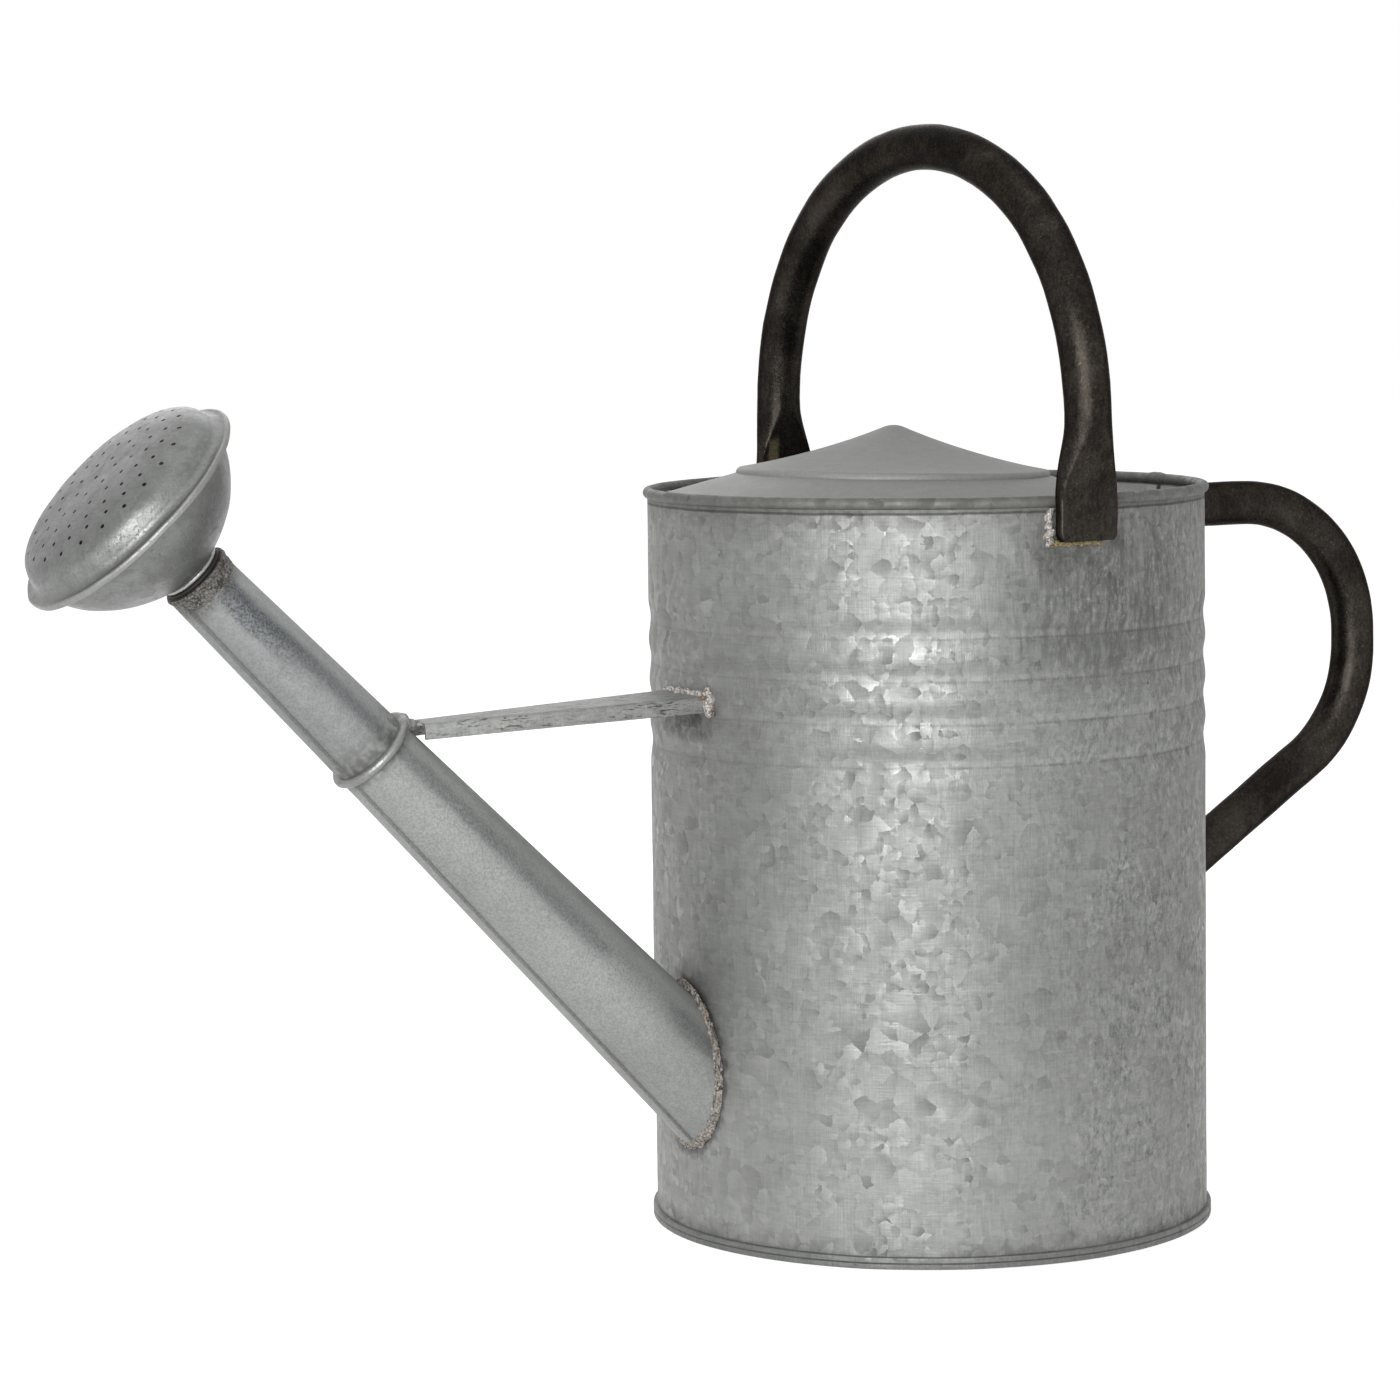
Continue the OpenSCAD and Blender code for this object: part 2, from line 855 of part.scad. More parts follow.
module rose_face() {
    dome_out = [for (i = [0:dome_rows]) dome_point(i, 0)];
    dome_in = [for (i = [dome_rows:-1:0]) dome_point(i, sheet)];
    color(zinc)
        at_spout()
            translate([0, 0, rose_seat])
                difference() {
                    rotate_extrude()
                        polygon(concat(
                            [for (p = dome_out) p + [0, 2 * sheet]],
                            [for (p = dome_in) p + [0, 2 * sheet]],
                            [[dome_r - sheet, sheet], [rose_r - sheet, sheet], [rose_r - sheet, 0],
                             [rose_r - face_hem, 0], [rose_r - face_hem, -sheet], [rose_r, -sheet], [rose_r, 2 * sheet]]));
                    translate([0, 0, 2 * sheet])
                        rose_holes();
                }
}

body_shell();
rim_wire();
base_pan();
hood();
hood_solder();
spout_lower();
spout_upper();
spout_collar();
spout_socket();
spout_root_solder();
spout_tip_solder();
brace();
brace_body_solder();
brace_spout_solder();
bow_handle();
bow_solder_near();
bow_solder_far();
rear_handle();
rear_solder_upper();
rear_solder_lower();
rose_seal();
rose_neck();
rose_neck_solder();
rose_bowl();
rose_face();
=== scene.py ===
"""Looks of a zinc watering can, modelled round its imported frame."""

import json
import logging
import math
from dataclasses import dataclass
from enum import Enum
from typing import Callable, Sequence

import bpy
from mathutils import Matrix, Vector

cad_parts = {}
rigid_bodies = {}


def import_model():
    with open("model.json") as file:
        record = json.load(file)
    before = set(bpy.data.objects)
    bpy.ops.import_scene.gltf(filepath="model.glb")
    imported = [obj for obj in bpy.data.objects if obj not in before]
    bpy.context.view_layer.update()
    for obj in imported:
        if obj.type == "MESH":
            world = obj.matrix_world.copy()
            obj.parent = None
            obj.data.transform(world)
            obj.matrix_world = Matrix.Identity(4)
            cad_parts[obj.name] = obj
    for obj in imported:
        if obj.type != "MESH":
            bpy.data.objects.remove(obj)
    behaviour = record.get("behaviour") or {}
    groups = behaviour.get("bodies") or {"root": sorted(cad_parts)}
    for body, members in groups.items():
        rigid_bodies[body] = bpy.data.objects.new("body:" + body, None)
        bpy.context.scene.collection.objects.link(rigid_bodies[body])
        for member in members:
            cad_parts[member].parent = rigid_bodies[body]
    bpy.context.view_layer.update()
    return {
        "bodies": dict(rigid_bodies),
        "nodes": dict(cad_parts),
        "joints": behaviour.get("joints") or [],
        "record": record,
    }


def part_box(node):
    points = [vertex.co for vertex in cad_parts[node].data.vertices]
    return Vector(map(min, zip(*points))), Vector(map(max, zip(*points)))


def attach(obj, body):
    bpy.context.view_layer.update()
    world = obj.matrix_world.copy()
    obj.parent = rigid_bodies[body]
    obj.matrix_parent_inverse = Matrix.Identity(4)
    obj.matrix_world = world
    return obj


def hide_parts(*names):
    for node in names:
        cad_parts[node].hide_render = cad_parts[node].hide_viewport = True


LOG = logging.getLogger("watering_can")
MM = 0.001
TURN = 2 * math.pi
WHITE = (1, 1, 1, 1)

Outline = Sequence[tuple[float, float]]
Points = list[tuple[float, float]]
Colour = tuple[float, float, float]
Drop = tuple[float, float, float, float]
Piece = bpy.types.Object
Material = bpy.types.Material


class Body(Enum):
    """The rigid bodies that a piece can ride on."""

    CAN = "can"
    SEAL = "seal"
    ROSE = "rose"


class Slot(Enum):
    """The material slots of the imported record."""

    ZINC = "zinc_sheet"
    SOLDER = "solder"
    TUBE = "handle_tube"
    RUBBER = "rubber"


class Pick(Enum):
    """What is selected in edit mode."""

    POINTS = "VERT"
    FACES = "FACE"


class Cut(Enum):
    """What a tool leaves of a piece."""

    REST = "DIFFERENCE"
    SHARED = "INTERSECT"
    BOTH = "UNION"


class Clouds(Enum):
    """How clouds move a surface: their type, their way and their depth."""

    DENTS = ("COLOR", "RGB_TO_XYZ", 1)
    LUMPS = ("GRAYSCALE", "NORMAL", 2)


class Axis(Enum):
    """The axis that a handle bends about."""

    X = "X"
    Y = "Y"


# ---- shader expressions ----


class Sock:
    """A shader socket that takes part in Python expressions."""

    def __init__(self, graph: "Graph", socket: bpy.types.NodeSocket) -> None:
        """Keeps the socket and the graph that new nodes go into."""
        self.graph = graph
        self.socket = socket

    def maths(self, operation: str, *others: "Value") -> "Sock":
        """Adds a Math node with this socket as its first input."""
        return self.graph.maths(operation, self, *others)

    def __add__(self, other: "Value") -> "Sock":
        """Returns self + other."""
        return self.maths("ADD", other)

    __radd__ = __add__

    def __sub__(self, other: "Value") -> "Sock":
        """Returns self - other."""
        return self.maths("SUBTRACT", other)

    def __rsub__(self, other: "Value") -> "Sock":
        """Returns other - self."""
        return self.graph.maths("SUBTRACT", other, self)

    def __mul__(self, other: "Value") -> "Sock":
        """Returns self * other."""
        return self.maths("MULTIPLY", other)

    __rmul__ = __mul__

    def __truediv__(self, other: "Value") -> "Sock":
        """Returns self / other."""
        return self.maths("DIVIDE", other)

    def __or__(self, other: "Value") -> "Sock":
        """Returns the larger of self and other."""
        return self.maths("MAXIMUM", other)

    def __abs__(self) -> "Sock":
        """Returns the size of self."""
        return self.maths("ABSOLUTE")

    def ease(self, low: float, high: float) -> "Sock":
        """Eases this value into a mask.

        Args:
            low: Where the mask is 0.
            high: Where it is 1; below low, the mask falls.

        Returns:
            The mask, from 0 to 1.
        """
        if low > high:
            return 1 - self.ease(high, low)
        settings = {"interpolation_type": "SMOOTHSTEP"}
        return self.graph.node("MapRange", settings, {0: self, 1: low, 2: high})

    def hypot(self, other: "Sock") -> "Sock":
        """Gives the distance whose sides are self and other."""
        return (self * self + other * other).maths("SQRT")


Value = Sock | float | int | tuple


class Graph:
    """The nodes of one material or world, made through expressions."""

    FACET = 1.6
    HALF = (0.5, 0.5, 0.5)

    def __init__(self, holder: Material | bpy.types.World) -> None:
        """Starts an empty node tree.

        Args:
            holder: The material or world that the nodes belong to.
        """
        holder.use_nodes = True
        self.holder = holder
        self.tree = holder.node_tree
        self.tree.nodes.clear()

    def node(
        self,
        kind: str,
        settings: dict | None = None,
        sockets: dict | None = None,
        output: int | str = 0,
    ) -> Sock:
        """Adds any node.

        Args:
            kind: The node's type without its ShaderNode prefix.
            settings: Its settings, which are set first.
            sockets: The values or links of its sockets, by name or number.
            output: The output that is returned.

        Returns:
            The chosen output, or an empty socket where the node has none.
        """
        made = self.tree.nodes.new("ShaderNode" + kind)
        for key, value in (settings or {}).items():
            setattr(made, key, value)
        for key, value in (sockets or {}).items():
            if isinstance(value, Sock):
                self.tree.links.new(value.socket, made.inputs[key])
            else:
                made.inputs[key].default_value = value
        return Sock(self, made.outputs[output] if len(made.outputs) else None)

    def maths(self, operation: str, *values: Value) -> Sock:
        """Adds a Math node with these inputs."""
        return self.node("Math", {"operation": operation}, dict(enumerate(values)))

    def vector(self, operation: str, *values: Value, output: int | str = 0) -> Sock:
        """Adds a Vector Math node with these inputs."""
        return self.node("VectorMath", {"operation": operation}, dict(enumerate(values)), output)

    def place(self, origin: Vector = Vector(), tilt: float = 0.0) -> Sock:
        """Gives object coordinates in millimetres, seen from an origin and turned about Y.

        Args:
            origin: The new origin in metres.
            tilt: The turn of the new frame about Y, in radians.

        Returns:
            The coordinates as a vector.
        """
        coords = self.node("TexCoord", output="Object")
        settings = {"vector_type": "TEXTURE"}
        sockets = {0: coords, 1: origin, 2: (0, tilt, 0), 3: (MM, MM, MM)}
        return self.node("Mapping", settings, sockets)

    def parts(self, vector: Sock) -> tuple[Sock, Sock, Sock]:
        """Splits a vector into its three numbers."""
        return tuple(self.node("SeparateXYZ", None, {0: vector}, i) for i in range(3))

    def noise(self, coords: Sock, size: float, detail: float = 3, rough: float = 0.5) -> Sock:
        """Gives cloudy noise from 0 to 1 whose features are about size millimetres."""
        sockets = {"Vector": coords, "Scale": 1 / size, "Detail": detail, "Roughness": rough}
        return self.node("TexNoise", None, sockets)

    def stir(self, coords: Sock, size: float, reach: float) -> Sock:
        """Moves coordinates about with noise.

        Args:
            coords: The coordinates, in millimetres.
            size: The noise's size, in millimetres.
            reach: The furthest move along each axis, in millimetres.

        Returns:
            The moved coordinates, on average half the reach further on.
        """
        sockets = {"Vector": coords, "Scale": 1 / size, "Detail": 3}
        colour = self.node("TexNoise", None, sockets, "Color")
        return self.vector("MULTIPLY_ADD", colour, (reach,) * 3, coords)

    def stretch(self, coords: Sock, scale: tuple[float, float, float]) -> Sock:
        """Scales coordinates along each axis."""
        return self.vector("MULTIPLY", coords, scale)

    def crystals(self, coords: Sock, size: float) -> tuple[Sock, Sock]:
        """Lays crystals side by side.

        Args:
            coords: The coordinates, in millimetres.
            size: The crystals' size, in millimetres.

        Returns:
            A random colour for each crystal, and a slope from about -0.5 to 0.5 across it.
        """
        colour = self.node("TexVoronoi", None, {"Vector": coords, "Scale": 1 / size}, "Color")
        middle = Sock(self, colour.socket.node.outputs["Position"])
        offset = self.vector("SUBTRACT", coords, middle)
        lean = self.vector("SUBTRACT", colour, self.HALF)
        dot = self.vector("DOT_PRODUCT", offset, lean, output="Value")
        return colour, dot * (self.FACET / size)

    def facets(self, crystal: Sock, lean: Sock) -> Sock:
        """Leans the surface's normal by each crystal's colour.

        Args:
            crystal: The crystals' colour.
            lean: How far they lean.

        Returns:
            The leaning normal.
        """
        normal = self.node("NewGeometry", output="Normal")
        way = self.tint(self.vector("SUBTRACT", crystal, self.HALF), lean)
        return self.vector("NORMALIZE", self.vector("ADD", way, normal))

    def blend(self, factor: Value, first: Value, second: Value) -> Sock:
        """Mixes two colours."""
        settings = {"data_type": "RGBA"}
        return self.node("Mix", settings, {0: factor, 6: first, 7: second}, 2)

    def tint(self, colour: Value, amount: Sock) -> Sock:
        """Scales a colour or a direction by a number."""
        return self.node("VectorMath", {"operation": "SCALE"}, {0: colour, "Scale": amount})

    def bump(self, height: Sock, depth: float, under: Sock | None = None) -> Sock:
        """Turns a height into a normal.

        Args:
            height: The height of the surface's grain.
            depth: The grain's real depth, in millimetres.
            under: The normal that it lies on, if not the surface's own.

        Returns:
            The bumpy normal.
        """
        sockets = {"Strength": 1.0, "Distance": depth * MM, "Height": height}
        if under is not None:
            sockets["Normal"] = under
        return self.node("Bump", None, sockets)

    def surface(self, constants: dict, **links: Sock) -> Material:
        """Finishes the material with a Principled shader.

        Args:
            constants: Plain values of the shader's sockets.
            links: What varies: base_color, roughness and normal.

        Returns:
            The material.
        """
        varied = {key.replace("_", " ").title(): value for key, value in links.items()}
        shader = self.node("BsdfPrincipled", None, {**constants, **varied})
        self.node("OutputMaterial", None, {"Surface": shader})
        return self.holder


def rgba(colour: Colour) -> tuple[float, float, float, float]:
    """Adds an alpha of 1 to a colour."""
    return (*colour, 1.0)


# ---- where things are ----


class Layout:
    """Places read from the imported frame, in metres."""

    HALF_SHEET = 0.4 * MM
    CORE_LOW = 5 * MM
    CORE_STEPS = 168

    def __init__(self, frame: dict) -> None:
        """Reads the rose's joint and the nodes' boxes.

        Args:
            frame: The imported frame.
        """
        turn = next(j for j in frame["joints"] if j["name"] == "rose_turn")
        rose = Vector(turn["pos_m"])
        self.axis = Vector(turn["axis"]).normalized()
        rim_low, rim_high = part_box("rim_wire")
        wire_d = rim_high.z - rim_low.z
        self.rim_z = (rim_low.z + rim_high.z) / 2
        self.rim_r = rim_high.y - wire_d / 2
        self.can_r = self.rim_r + self.HALF_SHEET
        to_wall = (-self.can_r - rose.x) / self.axis.x
        self.spout_root = rose + self.axis * to_wall
        self.tilt = -math.acos(self.axis.z)
        self.brace_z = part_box("brace")[1].z
        self.foot_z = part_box("bow_handle")[0].z

    def can_core(self, grow: float) -> Piece:
        """Makes a cylinder as wide as the can's wall.

        Args:
            grow: How much further out it goes, in millimetres.

        Returns:
            The cylinder.
        """
        radius = self.can_r + grow * MM
        middle = self.rim_z / 2
        return Bench.rod(radius, self.rim_z - self.CORE_LOW, middle, self.CORE_STEPS)


# ---- modelling ----


class Bench:
    """Modelling steps that the pieces share, each made with Blender's operators."""

    WELD = MM / 200
    DROP_SIDES = 16
    DROP_ROWS = 10

    @staticmethod
    def clear() -> None:
        """Leaves edit mode and deselects everything."""
        active = bpy.context.view_layer.objects.active
        if active is not None and active.mode != "OBJECT":
            bpy.ops.object.mode_set(mode="OBJECT")
        bpy.ops.object.select_all(action="DESELECT")

    @staticmethod
    def hold(*pieces: Piece) -> None:
        """Selects only these pieces and makes the first one active.

        Args:
            pieces: The pieces.
        """
        Bench.clear()
        for piece in pieces:
            piece.select_set(True)
        bpy.context.view_layer.objects.active = pieces[0]

    @staticmethod
    def edit(piece: Piece) -> None:
        """Opens a piece in edit mode with all of it selected.

        Args:
            piece: The piece.
        """
        Bench.hold(piece)
        bpy.ops.object.mode_set(mode="EDIT")
        bpy.ops.mesh.select_all(action="SELECT")

    @staticmethod
    def pick(piece: Piece, kind: Pick, test: Callable[[Vector, Vector], bool]) -> None:
        """Opens a piece in edit mode with only some points or faces selected.

        Args:
            piece: The piece that is edited.
            kind: Whether points or faces are selected.
            test: Tells from a place in millimetres and a normal what is selected.
        """
        Bench.edit(piece)
        bpy.ops.mesh.select_mode(type=kind.value)
        bpy.ops.mesh.select_all(action="DESELECT")
        bpy.ops.object.mode_set(mode="OBJECT")
        if kind is Pick.POINTS:
            for vertex in piece.data.vertices:
                vertex.select = test(vertex.co / MM, vertex.normal)
        else:
            for face in piece.data.polygons:
                face.select = test(face.center / MM, face.normal)
        bpy.ops.object.mode_set(mode="EDIT")

    @staticmethod
    def tidy(piece: Piece) -> None:
        """Merges doubles and points all faces outwards.

        Args:
            piece: The piece.
        """
        Bench.edit(piece)
        bpy.ops.mesh.remove_doubles(threshold=Bench.WELD)
        bpy.ops.mesh.normals_make_consistent(inside=False)
        bpy.ops.object.mode_set(mode="OBJECT")

    @staticmethod
    def modify(piece: Piece, kind: str, **settings: object) -> None:
        """Adds a modifier and applies it.

        Args:
            piece: The piece that it shapes.
            kind: The modifier's type.
            settings: The modifier's settings.
        """
        Bench.hold(piece)
        made = piece.modifiers.new(kind, kind)
        for key, value in settings.items():
            setattr(made, key, value)
        bpy.ops.object.modifier_apply(modifier=made.name)

    @staticmethod
    def smooth(piece: Piece, angle: float) -> None:
        """Shades a piece smooth, apart from edges sharper than angle degrees."""
        Bench.hold(piece)
        bpy.ops.object.shade_smooth_by_angle(angle=math.radians(angle))

    @staticmethod
    def join(*pieces: Piece) -> Piece:
        """Joins pieces into the first one.

        Args:
            pieces: The pieces.

        Returns:
            The first piece.
        """
        Bench.hold(*pieces)
        if len(pieces) > 1:
            bpy.ops.object.join()
        return pieces[0]

    @staticmethod
    def lathe(outline: Outline, steps: int) -> Piece:
        """Turns a closed outline about the Z axis.

        Args:
            outline: Points of (radius, height) in millimetres.
            steps: The number of steps round the axis.

        Returns:
            The turned solid, at the origin.
        """
        points = [Vector((r, 0, z)) * MM for r, z in (*outline, outline[0])]
        Bench.clear()
        bpy.ops.mesh.primitive_plane_add(size=MM)
        piece = bpy.context.object
        bpy.ops.object.mode_set(mode="EDIT")
        bpy.ops.mesh.merge(type="CENTER")
        bpy.ops.transform.translate(value=points[0])
        for start, end in zip(points, points[1:]):
            bpy.ops.mesh.extrude_region_move(TRANSFORM_OT_translate={"value": end - start})
        bpy.ops.mesh.select_all(action="SELECT")
        bpy.ops.mesh.spin(steps=steps, angle=TURN, center=(0, 0, 0), axis=(0, 0, 1))
        Bench.tidy(piece)
        return piece

    @staticmethod
    def rod(radius: float, length: float, middle: float, steps: int) -> Piece:
        """Adds an upright cylinder on the Z axis.

        Args:
            radius: Its radius in metres.
            length: Its length in metres.
            middle: The height of its middle in metres.
            steps: The number of its sides.

        Returns:
            The cylinder.
        """
        Bench.clear()
        bpy.ops.mesh.primitive_cylinder_add(
            vertices=steps, radius=radius, depth=length, location=(0, 0, middle)
        )
        bpy.ops.object.transform_apply()
        return bpy.context.object

    @staticmethod
    def box(low: Sequence[float], high: Sequence[float]) -> Piece:
        """Adds a box between two corners.

        Args:
            low: Its lowest corner in millimetres.
            high: Its highest corner in millimetres.

        Returns:
            The box.
        """
        Bench.clear()
        centre = [(a + b) / 2 * MM for a, b in zip(low, high)]
        size = [(b - a) * MM for a, b in zip(low, high)]
        bpy.ops.mesh.primitive_cube_add(size=1, location=centre, scale=size)
        bpy.ops.object.transform_apply()
        return bpy.context.object

    @staticmethod
    def drops(places: Sequence[Drop]) -> Piece:
        """Lays overlapping drops side by side.

        Args:
            places: The place and radius of each drop.

        Returns:
            All the drops as one mesh.
        """
        made = []
        for *place, radius in places:
            Bench.clear()
            size = {"radius": radius * MM, "location": Vector(place) * MM}
            bpy.ops.mesh.primitive_uv_sphere_add(
                segments=Bench.DROP_SIDES, ring_count=Bench.DROP_ROWS, **size
            )
            bpy.ops.object.transform_apply()
            made.append(bpy.context.object)
        return Bench.join(*made)

    @staticmethod
    def set_down(piece: Piece, origin: Vector, tilt: float, turn: float = 0.0) -> None:
        """Turns a piece, moves it to its origin and fixes both in its mesh.

        Args:
            piece: The piece, made at the origin.
            origin: Its place in metres.
            tilt: Its turn about Y, in radians.
            turn: Its later turn about Z, in radians.
        """
        Bench.hold(piece)
        piece.rotation_euler = (0, tilt, turn)
        piece.location = origin
        bpy.ops.object.transform_apply()

    @staticmethod
    def cut(piece: Piece, tool: Piece, leaves: Cut) -> None:
        """Cuts a piece with a tool, or keeps or joins what both fill, and removes the tool."""
        Bench.modify(piece, "BOOLEAN", object=tool, operation=leaves.value, solver="EXACT")
        bpy.data.objects.remove(tool)

    @staticmethod
    def roughen(piece: Piece, kind: Clouds, size: float, reach: float, level: float = 0.5) -> None:
        """Moves a surface in and out by clouds.

        Args:
            piece: The piece.
            kind: DENTS for a sheet, which move both of its sides alike, or LUMPS for a casting.
            size: The clouds' size, in millimetres.
            reach: Their whole height, in millimetres.
            level: How much of the height lies below the old surface.
        """
        cloud_type, way, depth = kind.value
        cloud = bpy.data.textures.new("clouds", "CLOUDS")
        cloud.cloud_type = cloud_type
        cloud.noise_scale = size * MM
        cloud.noise_depth = depth
        where = {"texture": cloud, "texture_coords": "GLOBAL", "direction": way}
        Bench.modify(piece, "DISPLACE", strength=reach * MM, mid_level=level, **where)

    @staticmethod
    def rotate(angle: float, axis: Axis, centre: Vector) -> None:
        """Turns the selection by the right-hand rule; the operator counts the other way."""
        where = {"orient_axis": axis.value, "orient_type": "GLOBAL", "center_override": centre}
        bpy.ops.transform.rotate(value=-angle, **where)

    @staticmethod
    def sweep(rings: Sequence["Ring"], axis: Axis, sides: int) -> Piece:
        """Extrudes a round section through rings that turn about one axis.

        Args:
            rings: The rings in order.
            axis: The axis that every ring turns about.
            sides: The number of sides of the section.

        Returns:
            The closed tube.
        """
        Bench.clear()
        bpy.ops.mesh.primitive_circle_add(vertices=sides, radius=0.5)
        piece = bpy.context.object
        Bench.edit(piece)
        last = Ring(Vector())
        for count, ring in enumerate(rings):
            step = ring.middle - last.middle
            if count:
                bpy.ops.mesh.extrude_region_move(TRANSFORM_OT_translate={"value": step})
            else:
                bpy.ops.transform.translate(value=step)
            if ring.width != last.width:
                scale = ring.width / last.width
                bpy.ops.transform.resize(value=(scale, scale, 1), center_override=ring.middle)
            if ring.turn != last.turn:
                Bench.rotate(ring.turn - last.turn, axis, ring.middle)
            last = ring
        bpy.ops.mesh.select_all(action="SELECT")
        bpy.ops.mesh.fill_holes(sides=0)
        Bench.tidy(piece)
        return piece


@dataclass(frozen=True)
class Ring:
    """One ring of a swept tube, in metres and radians."""

    middle: Vector
    turn: float = 0.0
    width: float = 1.0


class Shop:
    """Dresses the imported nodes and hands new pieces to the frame."""

    PASSES = 4
    FINE_SIZE = 0.35
    FINE_REACH = 0.3
    SOFT = 60

    def __init__(self, frame: dict) -> None:
        """Keeps the frame's nodes."""
        self.nodes = frame["nodes"]

    def dress(self, node: str, material: Material) -> None:
        """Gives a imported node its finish.

        Args:
            node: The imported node.
            material: Its finish.
        """
        slots = self.nodes[node].data.materials
        slots.clear()
        slots.append(material)
        LOG.info("node %s dressed in %s", node, material.name)

    def deliver(
        self,
        piece: Piece,
        name: str,
        node: str,
        material: Material,
        body: Body = Body.CAN,
        slot: Slot = Slot.ZINC,
        dents: tuple[float, float] | None = None,
        angle: float = 35,
    ) -> Piece:
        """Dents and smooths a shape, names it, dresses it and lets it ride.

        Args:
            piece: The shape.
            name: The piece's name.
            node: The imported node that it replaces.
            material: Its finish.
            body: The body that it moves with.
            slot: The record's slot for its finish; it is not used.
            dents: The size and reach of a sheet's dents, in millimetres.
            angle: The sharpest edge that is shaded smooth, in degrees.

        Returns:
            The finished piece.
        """
        if dents:
            Bench.roughen(piece, Clouds.DENTS, *dents)
        Bench.smooth(piece, angle)
        Bench.clear()
        piece.name = name
        piece.data.name = name
        piece.data.materials.clear()
        piece.data.materials.append(material)
        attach(piece, body.value)
        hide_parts(node)
        LOG.info("piece %s rides on %s: %d faces", name, body.value, len(piece.data.polygons))
        return piece

    def cast(
        self,
        node: str,
        name: str,
        material: Material,
        voxel: float,
        lumps: tuple[float, float, float],
        drops: Sequence[Drop] = (),
        body: Body = Body.CAN,
    ) -> Piece:
        """Copies a packed bead, or takes drops in its place, and melts it: rounded and lumpy.

        Args:
            node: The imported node.
            name: The new piece's name.
            material: Its finish.
            voxel: The grain of the new mesh, in millimetres.
            lumps: The size of its lumps, their height and the share below the old surface.
            drops: The place and radius of the drops.
            body: The body that it moves with.

        Returns:
            The melted bead.
        """
        if drops:
            piece = Bench.drops(drops)
        else:
            piece = bpy.data.objects.new(node, self.nodes[node].data.copy())
            bpy.context.scene.collection.objects.link(piece)
            Bench.tidy(piece)
        Bench.hold(piece)
        piece.data.remesh_voxel_size = voxel * MM
        bpy.ops.object.voxel_remesh()
        passes = self.PASSES if drops else round(self.PASSES / voxel)
        Bench.modify(piece, "SMOOTH", factor=0.5, iterations=passes)
        size, reach, level = lumps
        Bench.roughen(piece, Clouds.LUMPS, size, reach, level)
        Bench.roughen(piece, Clouds.LUMPS, size * self.FINE_SIZE, reach * self.FINE_REACH)
        return self.deliver(piece, name, node, material, body, Slot.SOLDER, angle=self.SOFT)


# ---- finishes ----


Stain = tuple[Sock, Colour]


@dataclass(frozen=True)
class Zinc:
    """Zinc-coated sheet: crystals, rolling lines, pits and weathering, with painted sheen across
    each crystal.
    """

    name: str
    tone: Colour = (0.214, 0.219, 0.211)
    grain: float = 7.5
    lean: float = 0.074
    contrast: float = 0.155
    feather: float = 0.2
    rough: float = 0.545
    metallic: float = 0.7
    hatch: float = 0.5
    pits: float = 0.5
    cloud: float = 0.2
    sand: float = 0.3
    gloss: float = 0.2
    speck: float = 1.3

    def stains(self, graph: Graph, here: Sock) -> list[Stain]:
        """Gives the finish's own stains, each a mask and its colour."""
        return []

    def wear(self, graph: Graph, here: Sock) -> Sock:
        """Gives how worn and pitted the sheet is, from 0 to 1."""
        return graph.noise(here, 60, 3).ease(0.45, 0.7)

    def material(self) -> Material:
        """Builds the finish.

        Returns:
            The material.
        """
        graph = Graph(bpy.data.materials.new(self.name))
        here = graph.place()
        ragged = graph.stir(graph.stir(here, self.grain, self.grain * 0.7), 2.0, 1.5)
        large, large_slope = graph.crystals(ragged, self.grain)
        small, small_slope = graph.crystals(ragged, self.grain * 0.5)
        patch = graph.noise(here, self.grain * 2.5, 2).ease(0.44, 0.54)
        facet = graph.blend(patch, large, small)
        slope = large_slope + patch * (small_slope - large_slope)
        shade, gloss, _ = graph.parts(facet)
        cloud = graph.noise(here, 46, 4, 0.6) - 0.5
        lines = graph.noise(graph.stretch(here, (1, 1, 0.06)), 0.6, 2) - 0.5
        thread = graph.noise(graph.stretch(here, (0.1, 0.1, 1)), 0.7, 2) - 0.5
        speck = graph.noise(here, self.speck, 4, 0.7)
        worn = self.wear(graph, here)
        pits = speck.ease(0.54, 0.68) * worn * self.pits
        salt = speck.ease(0.43, 0.32) * worn * self.pits
        # The slope across each crystal brightens one side of it in the colour, a painted sheen; the
        # crystals' own tones vary at random.
        light = 1 + (shade - 0.5) * self.contrast + slope * self.feather + cloud * self.cloud * 2
        light = light + (lines + thread) * 0.7 * self.hatch + (speck - 0.5) * self.sand
        light = light - pits * 0.45 + salt * 0.45
        colour = graph.tint(self.tone, light)
        rough = self.rough + (gloss - 0.5) * self.gloss - slope * self.feather
        rough = rough + cloud * 0.2 + salt * 0.2
        for mask, tone in self.stains(graph, here):
            colour = graph.blend(mask, colour, rgba(tone))
            rough = rough + mask * 0.1
        flat = graph.facets(facet, (0.8 + slope) * self.lean)
        height = (lines + thread) * self.hatch * 1.5 + speck * (0.5 + self.sand) - pits * 1.2
        return graph.surface(
            {"Metallic": self.metallic, "Specular IOR Level": 0.5},
            base_color=colour,
            roughness=rough,
            normal=graph.bump(height, 0.09, flat),
        )


